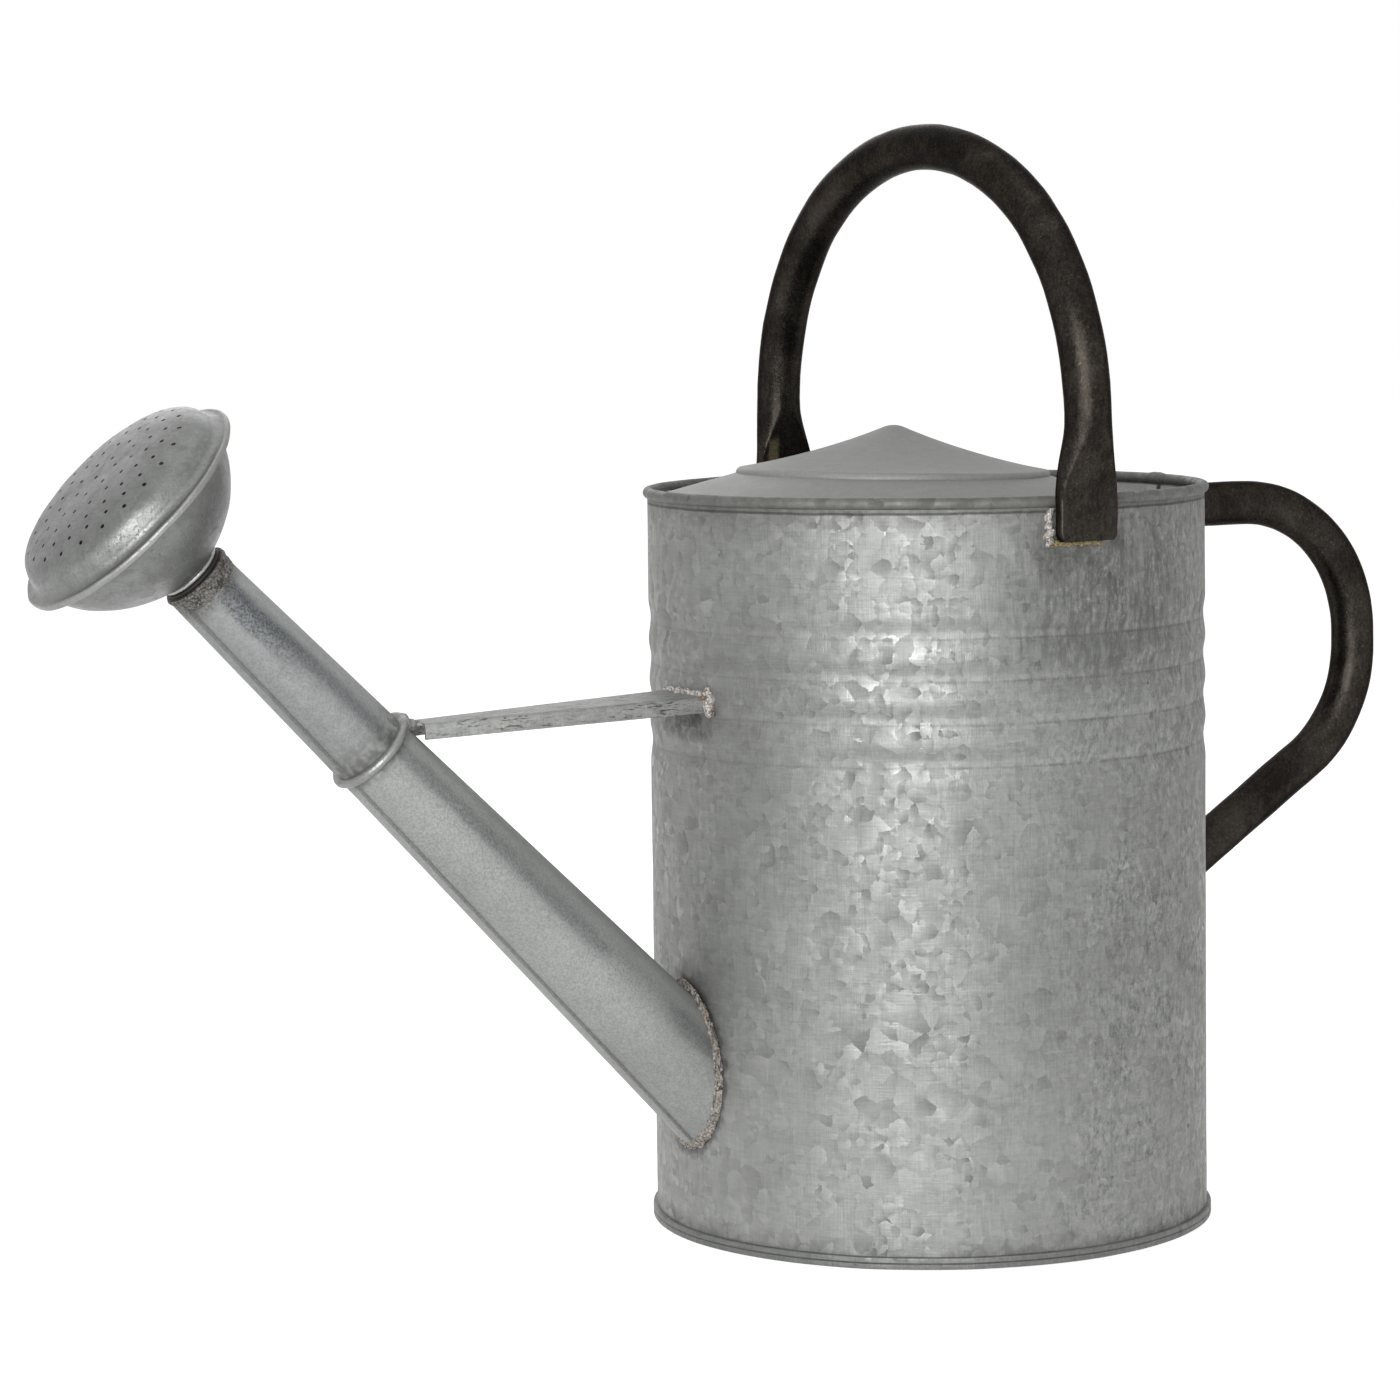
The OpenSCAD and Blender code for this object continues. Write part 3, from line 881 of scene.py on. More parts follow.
@dataclass(frozen=True)
class BodyZinc(Zinc):
    """The can's own sheet, stained where parts were soldered to it."""

    root: Vector = Vector()
    tilt: float = 0.0
    brace_z: float = 0.0
    foot_z: float = 0.0
    groove_pitch: float = 15.4
    crease_z: float = 183.0
    grooves: int = 4
    lining_r: float = 104.45

    def wear(self, graph: Graph, here: Sock) -> Sock:
        """Wears the sheet most low down behind the nearer foot of the bow.

        Args:
            graph: The finish's nodes.
            here: The place, in millimetres.

        Returns:
            The wear, from 0 to 1.
        """
        x, y, z = graph.parts(here)
        near = (x * 0.9 - y * 0.35).ease(25, 80) * z.ease(215, 150)
        return graph.noise(here, 34, 4, 0.6).ease(0.5, 0.66) * 0.55 | near * 0.85

    def stains(self, graph: Graph, here: Sock) -> list[Stain]:
        """Darkens the sheet round the spout, the brace, the bow's feet, the rim and the foot, and
        paints light and shade on it.

        Args:
            graph: The finish's nodes.
            here: The place, in millimetres.

        Returns:
            The masks and their colours, the lowest first.
        """
        ragged = graph.stir(graph.stir(here, 9, 12), 2.5, 2.5)
        x, y, z = (part - (12 + 2.5) / 2 for part in graph.parts(ragged))
        seen = graph.stir(graph.place(self.root, self.tilt), 6, 7)
        a, b = (part - 7 / 2 for part in graph.parts(seen)[:2])
        from_axis = a.hypot(b)
        front = x.ease(-50, -85)
        spout = from_axis.ease(30, 23) * front * a.ease(-22, 16)
        outline = from_axis.ease(25, 22.5) * front
        brace = abs(y).ease(20, 14) * abs(z - self.brace_z + 3 + 5).ease(12, 4) * front
        feet = abs(x).ease(24, 13) * abs(z - self.foot_z - 2).ease(22, 9) * abs(y).ease(60, 90)
        rim = z.ease(262, 274) * 0.4
        foot = z.ease(12, 5) * 0.4
        blotch = graph.noise(here, 5, 5, 0.7).ease(0.36, 0.62)
        soot = (spout * 0.6 | brace * 0.8 | feet * 0.5 | rim | foot) * (0.25 + blotch * 0.75)
        seam = abs(y).ease(7, 4) * abs(z - 270).ease(9, 4) * x.ease(60, 80) * 0.8
        _, _, up = graph.parts(graph.stir(here, 12, 0.6))
        across, back, high = graph.parts(here)
        # Painted light on the inside of the wall above the cover, and the dark line beside the lock
        # seam there.
        inside = across.hypot(back).ease(self.lining_r + 0.3, self.lining_r)
        inside = inside * high.ease(238, 250) * high.ease(274.5, 273)
        fold = inside * across.ease(90, 95) * abs(abs(back) - 4.3).ease(0.9, 0.4)
        # The way up from the nearest groove's crease.
        steps = (up - self.crease_z - 0.3) / self.groove_pitch
        near = steps.maths("ROUND").maths("MAXIMUM", 0).maths("MINIMUM", self.grooves - 1)
        from_crease = (steps - near) * self.groove_pitch
        broken = graph.noise(graph.stretch(here, (1, 1, 0.3)), 7, 4, 0.7).ease(0.35, 0.6)
        broken = broken * (0.3 + (x - y * 0.4).ease(-60, 60) * 0.7)
        # Painted highlight along each groove's crease, and a painted shade line 1.6 mm below it,
        # broken up and strongest to the right.
        crease_highlight = abs(from_crease).ease(1.6, 0.3) * broken * 0.4
        flux_and_crease_shade = abs(from_crease + 1.6).ease(0.7, 0.1) * (0.06 + broken * 0.34)
        # The weathered side behind the nearer foot of the bow, darkened there by painted shade.
        shade = abs(x - 14).ease(58, 20) * abs(z - 240).ease(42, 12) * y.ease(-50, -70)
        streaks = graph.noise(graph.stretch(here, (1, 1, 0.25)), 3, 4, 0.7).ease(0.35, 0.65)
        fade = graph.noise(here, 22, 4, 0.6).ease(0.4, 0.58)
        grain = graph.noise(graph.stretch(here, (1, 1, 0.6)), 1.8, 5, 0.8)
        right = (x * 0.9 - y * 0.35).ease(-10, 60) * (0.35 + fade * 0.65)
        grey, pale = (0.08, 0.082, 0.078), (0.4, 0.405, 0.395)
        return [
            # Painted shade line and painted highlight at the groove creases.
            (flux_and_crease_shade, (0.07, 0.07, 0.066)),
            (crease_highlight, (0.36, 0.365, 0.355)),
            (shade * (0.15 + streaks * 0.6), grey),
            (x.ease(25, 85) * y.ease(20, -20) * streaks * 0.22, grey),
            # Painted light: the wall is brightened towards the bottom of the can.
            (high.ease(95, 35) * 0.12, pale),
            (right * grain.ease(0.51, 0.61) * 0.6, (0.09, 0.092, 0.088)),
            (right * grain.ease(0.46, 0.38) * 0.45, pale),
            # A darker rim, and under it a dark line that is partly grime and partly painted shade
            # where the rim overhangs the wall.
            (up.ease(272.4, 273.2) * 0.6, (0.125, 0.125, 0.117)),
            (abs(up - 272.7).ease(0.7, 0.2) * 0.7, (0.025, 0.024, 0.022)),
            (soot | seam, (0.07, 0.064, 0.056)),
            (outline * 0.55, (0.035, 0.03, 0.026)),
            (inside * 0.85, (0.55, 0.555, 0.545)),
            (fold * 0.85, (0.045, 0.044, 0.04)),
        ]


@dataclass(frozen=True)
class SpoutZinc(Zinc):
    """The spout's sheet: fine grain, with darker mottled streaks along its upper side and a painted
    light band above them.
    """

    root: Vector = Vector()
    tilt: float = 0.0
    joint: float = 178.0

    def wear(self, graph: Graph, here: Sock) -> Sock:
        """Roughens the spout evenly."""
        return graph.noise(here, 25, 3).ease(0.2, 0.6)

    def stains(self, graph: Graph, here: Sock) -> list[Stain]:
        """Lays mottled streaks along the spout, a painted light band above them and soot where it
        was soldered.

        Args:
            graph: The finish's nodes.
            here: The place, in millimetres.

        Returns:
            The masks and their colours, the lowest first.
        """
        seen = graph.place(self.root, self.tilt)
        a, b, t = graph.parts(seen)
        side = abs(b.maths("ARCTAN2", a))
        speckle = graph.noise(here, 0.9, 4, 0.8).ease(0.45, 0.57)
        mottle = graph.noise(here, 3.2, 5, 0.75).ease(0.36, 0.62)
        along = graph.noise(seen, 40, 2).ease(0.3, 0.5)
        near_tip = t.ease(185, 235) * 0.8
        wave = graph.noise(graph.stretch(seen, (1, 1, 0.3)), 9, 2) - 0.5
        streak = abs(side - 1.3 + wave * 0.3).ease(0.28, 0.05) * (along * 0.75 | near_tip)
        wander = (graph.noise(here, 7, 4, 0.6) - 0.5) * 26
        root = (t + wander).ease(42, 24) * (0.3 + mottle * 0.7)
        tip = (t - wander * 0.3).ease(258, 266)
        above = (t - (self.joint + 2)).ease(14, 1) * (t - (self.joint + 2)).ease(-1, 1)
        below = (self.joint - 1 - t).ease(6, 0) * t.ease(self.joint, self.joint - 1)
        seam = abs(abs(b) - 5.2).ease(0.9, 0.2) * a.ease(0, -8)
        # Painted light: a lighter band above the streak on the spout's upper side.
        upper = abs(side - 0.7).ease(0.42, 0.12) * (0.6 + speckle * 0.4)
        high = t.ease(176, 182) * (0.12 + mottle * 0.16)
        scorch = abs(side - 1.5 + wave * 0.8).ease(0.55, 0.15)
        scorch = scorch * t.ease(212, 246) * t.ease(268, 260) * (0.25 + speckle * 0.55)
        brown = (0.06, 0.052, 0.044)
        return [
            (high, (0.09, 0.1, 0.11)),
            (scorch, (0.042, 0.048, 0.06)),
            # Painted light band.
            (upper * 0.45, (0.5, 0.51, 0.5)),
            (streak * (0.4 + speckle * 0.35), (0.066, 0.073, 0.082)),
            (root * 0.12 | (above | below) * mottle * 0.6 | seam * 0.35, brown),
            (tip * (0.3 + speckle * 0.5), brown),
        ]


@dataclass(frozen=True)
class BraceZinc(Zinc):
    """The brace's sheet, scratched along its length."""

    def wear(self, graph: Graph, here: Sock) -> Sock:
        """Pits the brace all over."""
        return graph.noise(here, 10, 3).ease(0.3, 0.6)

    def stains(self, graph: Graph, here: Sock) -> list[Stain]:
        """Draws dark scratches in patches.

        Args:
            graph: The finish's nodes.
            here: The place, in millimetres.

        Returns:
            The mask and its colour.
        """
        scratch = graph.noise(graph.stretch(here, (0.16, 1, 1)), 0.8, 3, 0.7).ease(0.53, 0.62)
        patch = graph.noise(here, 11, 3).ease(0.42, 0.6)
        return [(scratch * (0.25 + patch * 0.75), (0.045, 0.043, 0.04))]


@dataclass(frozen=True)
class RoseZinc(Zinc):
    """The rose's sheet: dull and even, rubbed bright at its rim, with painted shade in and round
    its holes.
    """

    root: Vector = Vector()
    tilt: float = 0.0
    flange_t: float = 307.0
    # Outer and inner radius of the painted shade round each hole, in millimetres.
    spots: tuple[float, float] = (0.95, 0.55)

    def wear(self, graph: Graph, here: Sock) -> Sock:
        """Pits the rose finely all over."""
        return graph.noise(here, 14, 3).ease(0.3, 0.6)

    def stains(self, graph: Graph, here: Sock) -> list[Stain]:
        """Paints shade in and round the holes and brightens the folded rim.

        Args:
            graph: The finish's nodes.
            here: The place, in millimetres.

        Returns:
            The masks and their colours, the lowest first.
        """
        a, b, t = graph.parts(graph.place(self.root, self.tilt))
        r = a.hypot(b)
        turn = b.maths("ARCTAN2", a)
        # Painted shade in and round each spray hole.
        holes = r.ease(*self.spots)
        for share, count in Rose.rings[1:]:
            ring = share * Rose.dome_r
            step = turn * (count / TURN) - Rose.twist * share * count / 360 + 0.5
            off = (step.maths("FRACT") - 0.5) * (TURN / count * ring)
            holes = holes | (r - ring).hypot(off).ease(*self.spots)
        holes = holes * t.ease(self.flange_t + 2, self.flange_t + 4)
        bright = r.ease(Rose.rim_r - 0.8, Rose.rim_r - 0.2)
        grime = graph.noise(here, 9, 5, 0.7).ease(0.46, 0.62) * r.ease(46, 40)
        return [
            (grime * 0.25, (0.09, 0.09, 0.085)),
            (bright * 0.3, (0.4, 0.4, 0.385)),
            (holes * 0.9, (0.006, 0.006, 0.006)),
        ]


@dataclass(frozen=True)
class Bead:
    """Old solder: rough, pale pinkish grey with burnt flux in its hollows."""

    name: str = "solder_bead"
    pale: Colour = (0.45, 0.42, 0.39)
    burnt: Colour = (0.035, 0.028, 0.022)
    rust: Colour = (0.25, 0.10, 0.04)
    soot: float = 0.46
    metallic: float = 0.35

    def material(self) -> Material:
        """Builds the finish.

        Returns:
            The material.
        """
        graph = Graph(bpy.data.materials.new(self.name))
        here = graph.place()
        fine = graph.noise(here, 0.9, 4, 0.75)
        broad = graph.noise(here, 4.5, 3, 0.6)
        flux_and_crease_shade = (fine * 0.6 + broad * 0.4).ease(self.soot, self.soot - 0.06)
        rusty = graph.noise(here, 7, 2).ease(0.58, 0.66) * fine.ease(0.4, 0.6) * 0.5
        light = 0.1 + fine.ease(0.3, 0.72) * 1.3 + broad * 0.2
        colour = graph.blend(rusty, graph.tint(self.pale, light), rgba(self.rust))
        colour = graph.blend(flux_and_crease_shade * 0.85, colour, rgba(self.burnt))
        return graph.surface(
            {"Metallic": self.metallic},
            base_color=colour,
            roughness=0.42 + fine * 0.25 + flux_and_crease_shade * 0.15,
            normal=graph.bump(fine + broad * 0.6, 0.5),
        )


@dataclass(frozen=True)
class Tube:
    """Dark burnished steel tube with brown patches, worn paler in specks, with a painted highlight
    along a crease of the bow's far foot.
    """

    name: str = "dark_tube"
    tone: Colour = (0.0125, 0.0108, 0.0092)
    worn: Colour = (0.042, 0.0365, 0.031)
    bare: Colour = (0.17, 0.145, 0.12)
    # Colour and place, in millimetres, of a painted highlight along the crease of the bow's far
    # foot.
    glint: Colour = (0.2, 0.17, 0.1)
    glint_y: float = 104.0
    glint_z: float = 287.0
    edge: tuple[float, float, float, float] = (0.3, 0.28, 0.25, 1.0)
    rough: float = 0.3

    def material(self) -> Material:
        """Builds the finish.

        Returns:
            The material.
        """
        graph = Graph(bpy.data.materials.new(self.name))
        here = graph.place()
        cloud = graph.noise(here, 24, 4, 0.6)
        patch = graph.noise(here, 7, 4, 0.65)
        fine = graph.noise(here, 0.9, 4, 0.75)
        scratch = graph.noise(graph.stretch(here, (1, 1, 0.2)), 1.2, 3, 0.6)
        wear = (cloud * 0.35 + patch * 0.2 + scratch * 0.2 + fine * 0.25).ease(0.4, 0.62)
        speck = fine.ease(0.6, 0.7) * cloud.ease(0.42, 0.58)
        colour = graph.blend(wear * 0.9, rgba(self.tone), rgba(self.worn))
        colour = graph.blend(speck * 0.4, colour, rgba(self.bare))
        # Painted highlight along the crease of the bow's far foot.
        x, y, z = graph.parts(graph.stir(here, 4, 3))
        crease_highlight = abs(x + 4).ease(3.2, 1.2) * abs(z - self.glint_z).ease(8, 3)
        crease_highlight = crease_highlight * abs(y - self.glint_y).ease(6, 4.5)
        colour = graph.blend(crease_highlight * 0.8, colour, rgba(self.glint))
        return graph.surface(
            {"Metallic": 0.85, "Specular IOR Level": 0.15, "Specular Tint": self.edge},
            base_color=graph.tint(colour, 0.6 + fine * 0.8),
            roughness=self.rough + (cloud - 0.5) * 0.4 + (fine - 0.5) * 0.4,
            normal=graph.bump(fine + scratch * 0.3 + cloud * 1.5, 0.11),
        )


@dataclass(frozen=True)
class Rubber:
    """Black rubber of the washer."""

    name: str = "black_rubber"
    tone: Colour = (0.014, 0.013, 0.012)

    def material(self) -> Material:
        """Builds the finish.

        Returns:
            The material.
        """
        graph = Graph(bpy.data.materials.new(self.name))
        fine = graph.noise(graph.place(), 0.8, 4, 0.6)
        return graph.surface(
            {"Metallic": 0.0, "Specular IOR Level": 0.35},
            base_color=graph.tint(self.tone, 0.7 + fine * 0.6),
            roughness=0.55 + fine * 0.2,
            normal=graph.bump(fine, 0.1),
        )


# ---- studio ----


@dataclass(frozen=True)
class Panel:
    """One soft light, in metres and watts."""

    name: str
    place: tuple[float, float, float]
    size: tuple[float, float]
    watts: float


@dataclass
class Studio:
    """Camera, lights, floor and the white surroundings, in metres and degrees."""

    eye: tuple[float, float, float] = (-0.87910967, -1.43457661, 0.36531087)
    turn: tuple[float, float, float] = (84.27604, 0.79413, -28.64753)
    lens: float = 114.467
    sensor: float = 36
    nearest: float = 0.05
    target: tuple[float, float, float] = (-0.04, 0.0, 0.19)
    fill: float = 0.4
    floor_size: float = 14
    floor_drop: float = 0.0004
    floor_tone: float = 0.8
    floor_glow: float = 0.75
    panels: tuple[Panel, ...] = (
        Panel("key", (-1.4, -1.6, 0.62), (1.5, 1.2), 44),
        Panel("top", (-0.1, 0.1, 1.7), (1.2, 1.2), 3),
        Panel("back", (0.4, 1.7, 1.1), (1.2, 1.0), 5),
    )

    def camera(self) -> None:
        """Adds the camera."""
        Bench.clear()
        rotation = [math.radians(a) for a in self.turn]
        bpy.ops.object.camera_add(location=self.eye, rotation=rotation)
        made = bpy.context.object
        made.name = "camera"
        made.data.lens = self.lens
        made.data.sensor_width = self.sensor
        made.data.clip_start = self.nearest
        bpy.context.scene.camera = made

    def lights(self) -> None:
        """Hangs the soft lights, each turned to the can."""
        for panel in self.panels:
            Bench.clear()
            way = Vector(self.target) - Vector(panel.place)
            bpy.ops.object.light_add(type="AREA", location=panel.place)
            made = bpy.context.object
            made.name = panel.name
            made.rotation_euler = way.to_track_quat("-Z", "Y").to_euler()
            made.data.shape = "RECTANGLE"
            made.data.size, made.data.size_y = panel.size
            made.data.energy = panel.watts

    @staticmethod
    def seen(graph: Graph) -> Sock:
        """Tells which rays look for the white surroundings.

        Args:
            graph: The nodes of the floor or the world.

        Returns:
            1 for camera, glossy and transmission rays, 0 for the rest.
        """
        camera = graph.node("LightPath", output="Is Camera Ray")
        rays = camera.socket.node.outputs
        glossy, clear = (Sock(graph, rays[f"Is {kind} Ray"]) for kind in ("Glossy", "Transmission"))
        return camera | glossy | clear

    def floor(self) -> None:
        """Lays a pale floor that shows white but keeps the shadow."""
        Bench.clear()
        place = (0, 0, -self.floor_drop)
        bpy.ops.mesh.primitive_plane_add(size=self.floor_size, location=place)
        bpy.ops.object.transform_apply()
        made = bpy.context.object
        made.name = "floor"
        graph = Graph(bpy.data.materials.new("pale_floor"))
        matt = graph.node("BsdfDiffuse", None, {"Color": rgba((self.floor_tone,) * 3)})
        glow = graph.node("Emission", None, {"Color": WHITE, "Strength": self.floor_glow})
        both = graph.node("AddShader", None, {0: matt, 1: glow})
        mixed = graph.node("MixShader", None, {0: self.seen(graph), 1: matt, 2: both})
        graph.node("OutputMaterial", None, {"Surface": mixed})
        made.data.materials.append(graph.holder)

    def world(self) -> None:
        """Surrounds the can with white to the camera and a plain grey fill to the rest."""
        graph = Graph(bpy.data.worlds.new("white_room"))
        bpy.context.scene.world = graph.holder
        strength = self.fill + self.seen(graph) * (1 - self.fill)
        light = graph.node("Background", None, {"Color": WHITE, "Strength": strength})
        graph.node("OutputWorld", None, {"Surface": light})

    def build(self) -> None:
        """Sets up the whole studio."""
        self.camera()
        self.lights()
        self.floor()
        self.world()
        bpy.context.scene.view_settings.view_transform = "Standard"


# ---- sub-assemblies ----


def arc(centre: tuple[float, float], radius: float, start: float, end: float, steps: int) -> Points:
    """Gives points on an arc between two angles in degrees."""
    turns = [math.radians(start + (end - start) * i / steps) for i in range(steps + 1)]
    return [(centre[0] + radius * math.cos(a), centre[1] + radius * math.sin(a)) for a in turns]


def rows(start: float, end: float, pitch: float) -> list[float]:
    """Gives evenly spaced heights after start and before end, about pitch apart."""
    count = max(1, round((end - start) / pitch))
    return [start + (end - start) * i / count for i in range(1, count)]


@dataclass
class Finishes:
    """Every finish of the can, made once."""

    layout: Layout

    def __post_init__(self) -> None:
        """Builds the finishes."""
        spot = {"root": self.layout.spout_root, "tilt": self.layout.tilt}
        brace_z, foot_z = self.layout.brace_z / MM, self.layout.foot_z / MM
        self.body = BodyZinc(
            "body_zinc", pits=0.9, brace_z=brace_z, foot_z=foot_z, **spot
        ).material()
        self.spout = SpoutZinc(
            "spout_zinc", tone=(0.27, 0.277, 0.27), grain=5, lean=0.02, contrast=0.04,
            feather=0.04, hatch=0.2, sand=1.9, gloss=0.04, speck=0.8, **spot,
        ).material()
        self.cover = Zinc(
            "cover_zinc", lean=0.01, contrast=0.03, feather=0.03, rough=0.6, metallic=0.35,
            hatch=0.15, cloud=0.14, sand=0.6, gloss=0.03, speck=0.9,
        ).material()
        self.trim = Zinc(
            "trim_zinc", grain=6, lean=0.03, contrast=0.06, feather=0.1, rough=0.4, sand=0.6
        ).material()
        self.fold = Zinc(
            "fold_zinc", tone=(0.15, 0.154, 0.148), grain=6, lean=0.03, contrast=0.1,
            feather=0.1, rough=0.55, pits=1.2, sand=0.8,
        ).material()
        self.rose = RoseZinc(
            "rose_zinc", tone=(0.185, 0.19, 0.185), grain=7, lean=0.03, contrast=0.07,
            feather=0.08, rough=0.4, metallic=0.85, hatch=0.3, pits=1.0, cloud=0.3, sand=1.3,
            gloss=0.1, **spot,
        ).material()
        # The spigot is bright metal; its light tone is partly painted light against the shade
        # between the bowl and the washer.
        self.tin = Zinc(
            "bright_tin", tone=(0.34, 0.34, 0.33), lean=0.01, feather=0.02, rough=0.3, pits=0.2
        ).material()
        # The brace's tone, lighter than the can's, is partly painted light for its flange beside
        # the can.
        self.brace = BraceZinc(
            "brace_zinc", tone=(0.25, 0.255, 0.243), grain=6, lean=0.03, feather=0.06,
            metallic=0.35, pits=1.2, sand=1.6, gloss=0.05,
        ).material()
        self.bead = Bead().material()
        self.seam = Bead("seam_bead", (0.33, 0.305, 0.275), soot=0.47).material()
        self.tip_bead = Bead("tip_bead", (0.15, 0.143, 0.132), soot=0.5, metallic=0.5).material()
        self.brass = Bead("brass_bead", (0.26, 0.215, 0.11), soot=0.42).material()
        self.rust = Bead("burnt_bead", (0.22, 0.12, 0.07), metallic=0.1).material()
        self.tube = Tube().material()
        self.rubber = Rubber().material()


@dataclass
class Part:
    """What every sub-assembly works with."""

    shop: Shop
    layout: Layout
    finishes: Finishes

    def set(self, piece: Piece, height: float = 0.0) -> None:
        """Sets a piece down on the spout's axis, at a height in millimetres."""
        place = self.layout.spout_root + self.layout.axis * height * MM
        Bench.set_down(piece, place, self.layout.tilt)


@dataclass
class Can(Part):
    """Body, base and rolled rim of the can, in millimetres."""

    radius: float = 105.0
    sheet: float = 0.8
    wall_low: float = 0.9
    wall_row: float = 7.0
    rim_d: float = 4.2
    rim_overlap: float = 0.06
    rim_swell: float = 1.24
    rim_joint_y: float = -2.0
    rim_joint_w: float = 10.0
    groove_z: float = 182.0
    groove_pitch: float = 15.4
    groove_depth: float = 0.8
    groove_rows: int = 18
    grooves: int = 4
    crease: float = 1.2
    seam_w: float = 8.0
    seam_out: float = 0.9
    seam_in: float = 1.2
    seam_low: float = 8.0
    seam_edge: float = 0.35
    hole: tuple[tuple[float, float], ...] = ((0, -40), (20.4, -40), (18, 40), (0, 40))
    hole_steps: int = 96
    foot_h: float = 4.4
    foot_edge: float = 0.5
    foot_line: float = 2.2
    bottom: float = 6.0
    bottom_row: float = 13.0
    dents: tuple[float, float] = (42, 0.5)
    steps: int = 168

    def body(self) -> None:
        """Turns the grooved wall with its rim, adds the lock seam and cuts the spout's hole."""
        rim_z, rim_r = self.layout.rim_z / MM, self.layout.rim_r / MM
        rim_low = rim_z - self.rim_d / 2
        low = self.groove_z - self.groove_pitch / 2
        high = low + self.grooves * self.groove_pitch
        top = rim_low + self.rim_overlap
        start = self.wall_low
        wall = [(self.radius, z) for z in (start, *rows(start, low, self.wall_row), low)]
        for z in rows(low, high, self.groove_pitch / self.groove_rows):
            wall.append((self.radius - self.groove_depth * self.sunk(z), z))
        wall += [(self.radius, z) for z in (high, *rows(high, top, self.wall_row), top)]
        bead = arc((rim_r, rim_z), self.rim_d / 2, -79, 259, 22)
        inside = [(r - self.sheet, z) for r, z in reversed(wall)]
        piece = Bench.lathe(wall[:-1] + bead + inside[1:], self.steps)
        seam = Bench.box(
            (self.radius - self.sheet - self.seam_in, -self.seam_w / 2, self.seam_low),
            (self.radius + self.seam_out, self.seam_w / 2, rim_low),
        )
        Bench.modify(seam, "BEVEL", width=self.seam_edge * MM, segments=3)
        Bench.cut(piece, seam, Cut.BOTH)
        hole = Bench.lathe(self.hole, self.hole_steps)
        self.set(hole)
        Bench.cut(piece, hole, Cut.REST)
        self.rim_joint(piece, rim_r, rim_z)
        self.shop.deliver(piece, "can_wall", "body_shell", self.finishes.body, dents=self.dents)

    def sunk(self, z: float) -> float:
        """Shapes a groove, steep above its crease and long below.

        Args:
            z: A height, in millimetres.

        Returns:
            The share of the groove's depth there.
        """
        place = (z - self.groove_z) / self.groove_pitch + 0.5
        place = (place - math.floor(place)) * self.groove_pitch
        crease = self.groove_pitch / 2 + self.crease
        if place > crease:
            share = (self.groove_pitch - place) / (self.groove_pitch - crease)
        else:
            share = place / crease
        return (1 - math.cos(math.pi * share)) / 2

    def rim_joint(self, piece: Piece, rim_r: float, rim_z: float) -> None:
        """Swells the rolled rim where its two ends lap over the lock seam.

        Args:
            piece: The wall with its rim.
            rim_r: The radius of the rim's middle.
            rim_z: The height of the rim's middle.
        """
        low, side, half = rim_z - self.rim_d / 2 + 0.3, self.rim_joint_y, self.rim_joint_w / 2
        swell = (self.rim_swell, 1, self.rim_swell)
        Bench.pick(
            piece, Pick.POINTS, lambda at, _: at.x > 0 and abs(at.y - side) < half and at.z > low
        )
        bpy.ops.transform.resize(value=swell, center_override=Vector((rim_r, side, rim_z)) * MM)
        bpy.ops.object.mode_set(mode="OBJECT")

    def base(self) -> None:
        """Turns the recessed bottom with its folded foot ring, which shows a fine line."""
        inner = self.radius - 2 * self.sheet
        outer = self.radius + 2 * self.sheet
        edge, top, line = self.foot_edge, self.foot_h, self.foot_line
        disc = [(r, self.bottom) for r in (0, *rows(0, inner, self.bottom_row))]
        outline = [
            *disc,
            *arc((inner - self.sheet, self.bottom - self.sheet), self.sheet, 90, 0, 4),
            *arc((inner + edge, edge), edge, 180, 270, 4),
            *arc((outer - edge, edge), edge, -90, 0, 4),
            (outer, line - 0.3),
            (outer - 0.35, line),
            (outer, line + 0.3),
            *arc((outer - edge, top - edge), edge, 0, 90, 4),
            (self.radius + 0.02, top),
            (self.radius + 0.02, top - self.sheet),
            (outer - self.sheet, top - self.sheet),
            (outer - self.sheet, self.sheet),
            (inner + self.sheet, self.sheet),
            (inner + self.sheet, self.bottom + self.sheet),
            *[(r, self.bottom + self.sheet) for r, _ in reversed(disc)],
        ]
        piece = Bench.lathe(outline, self.steps)
        self.shop.deliver(piece, "can_base", "base_pan", self.finishes.fold, dents=self.dents)

    def build(self) -> None:
        """Builds the can and dresses the hidden wire."""
        self.body()
        self.base()
        self.shop.dress("rim_wire", self.finishes.trim)


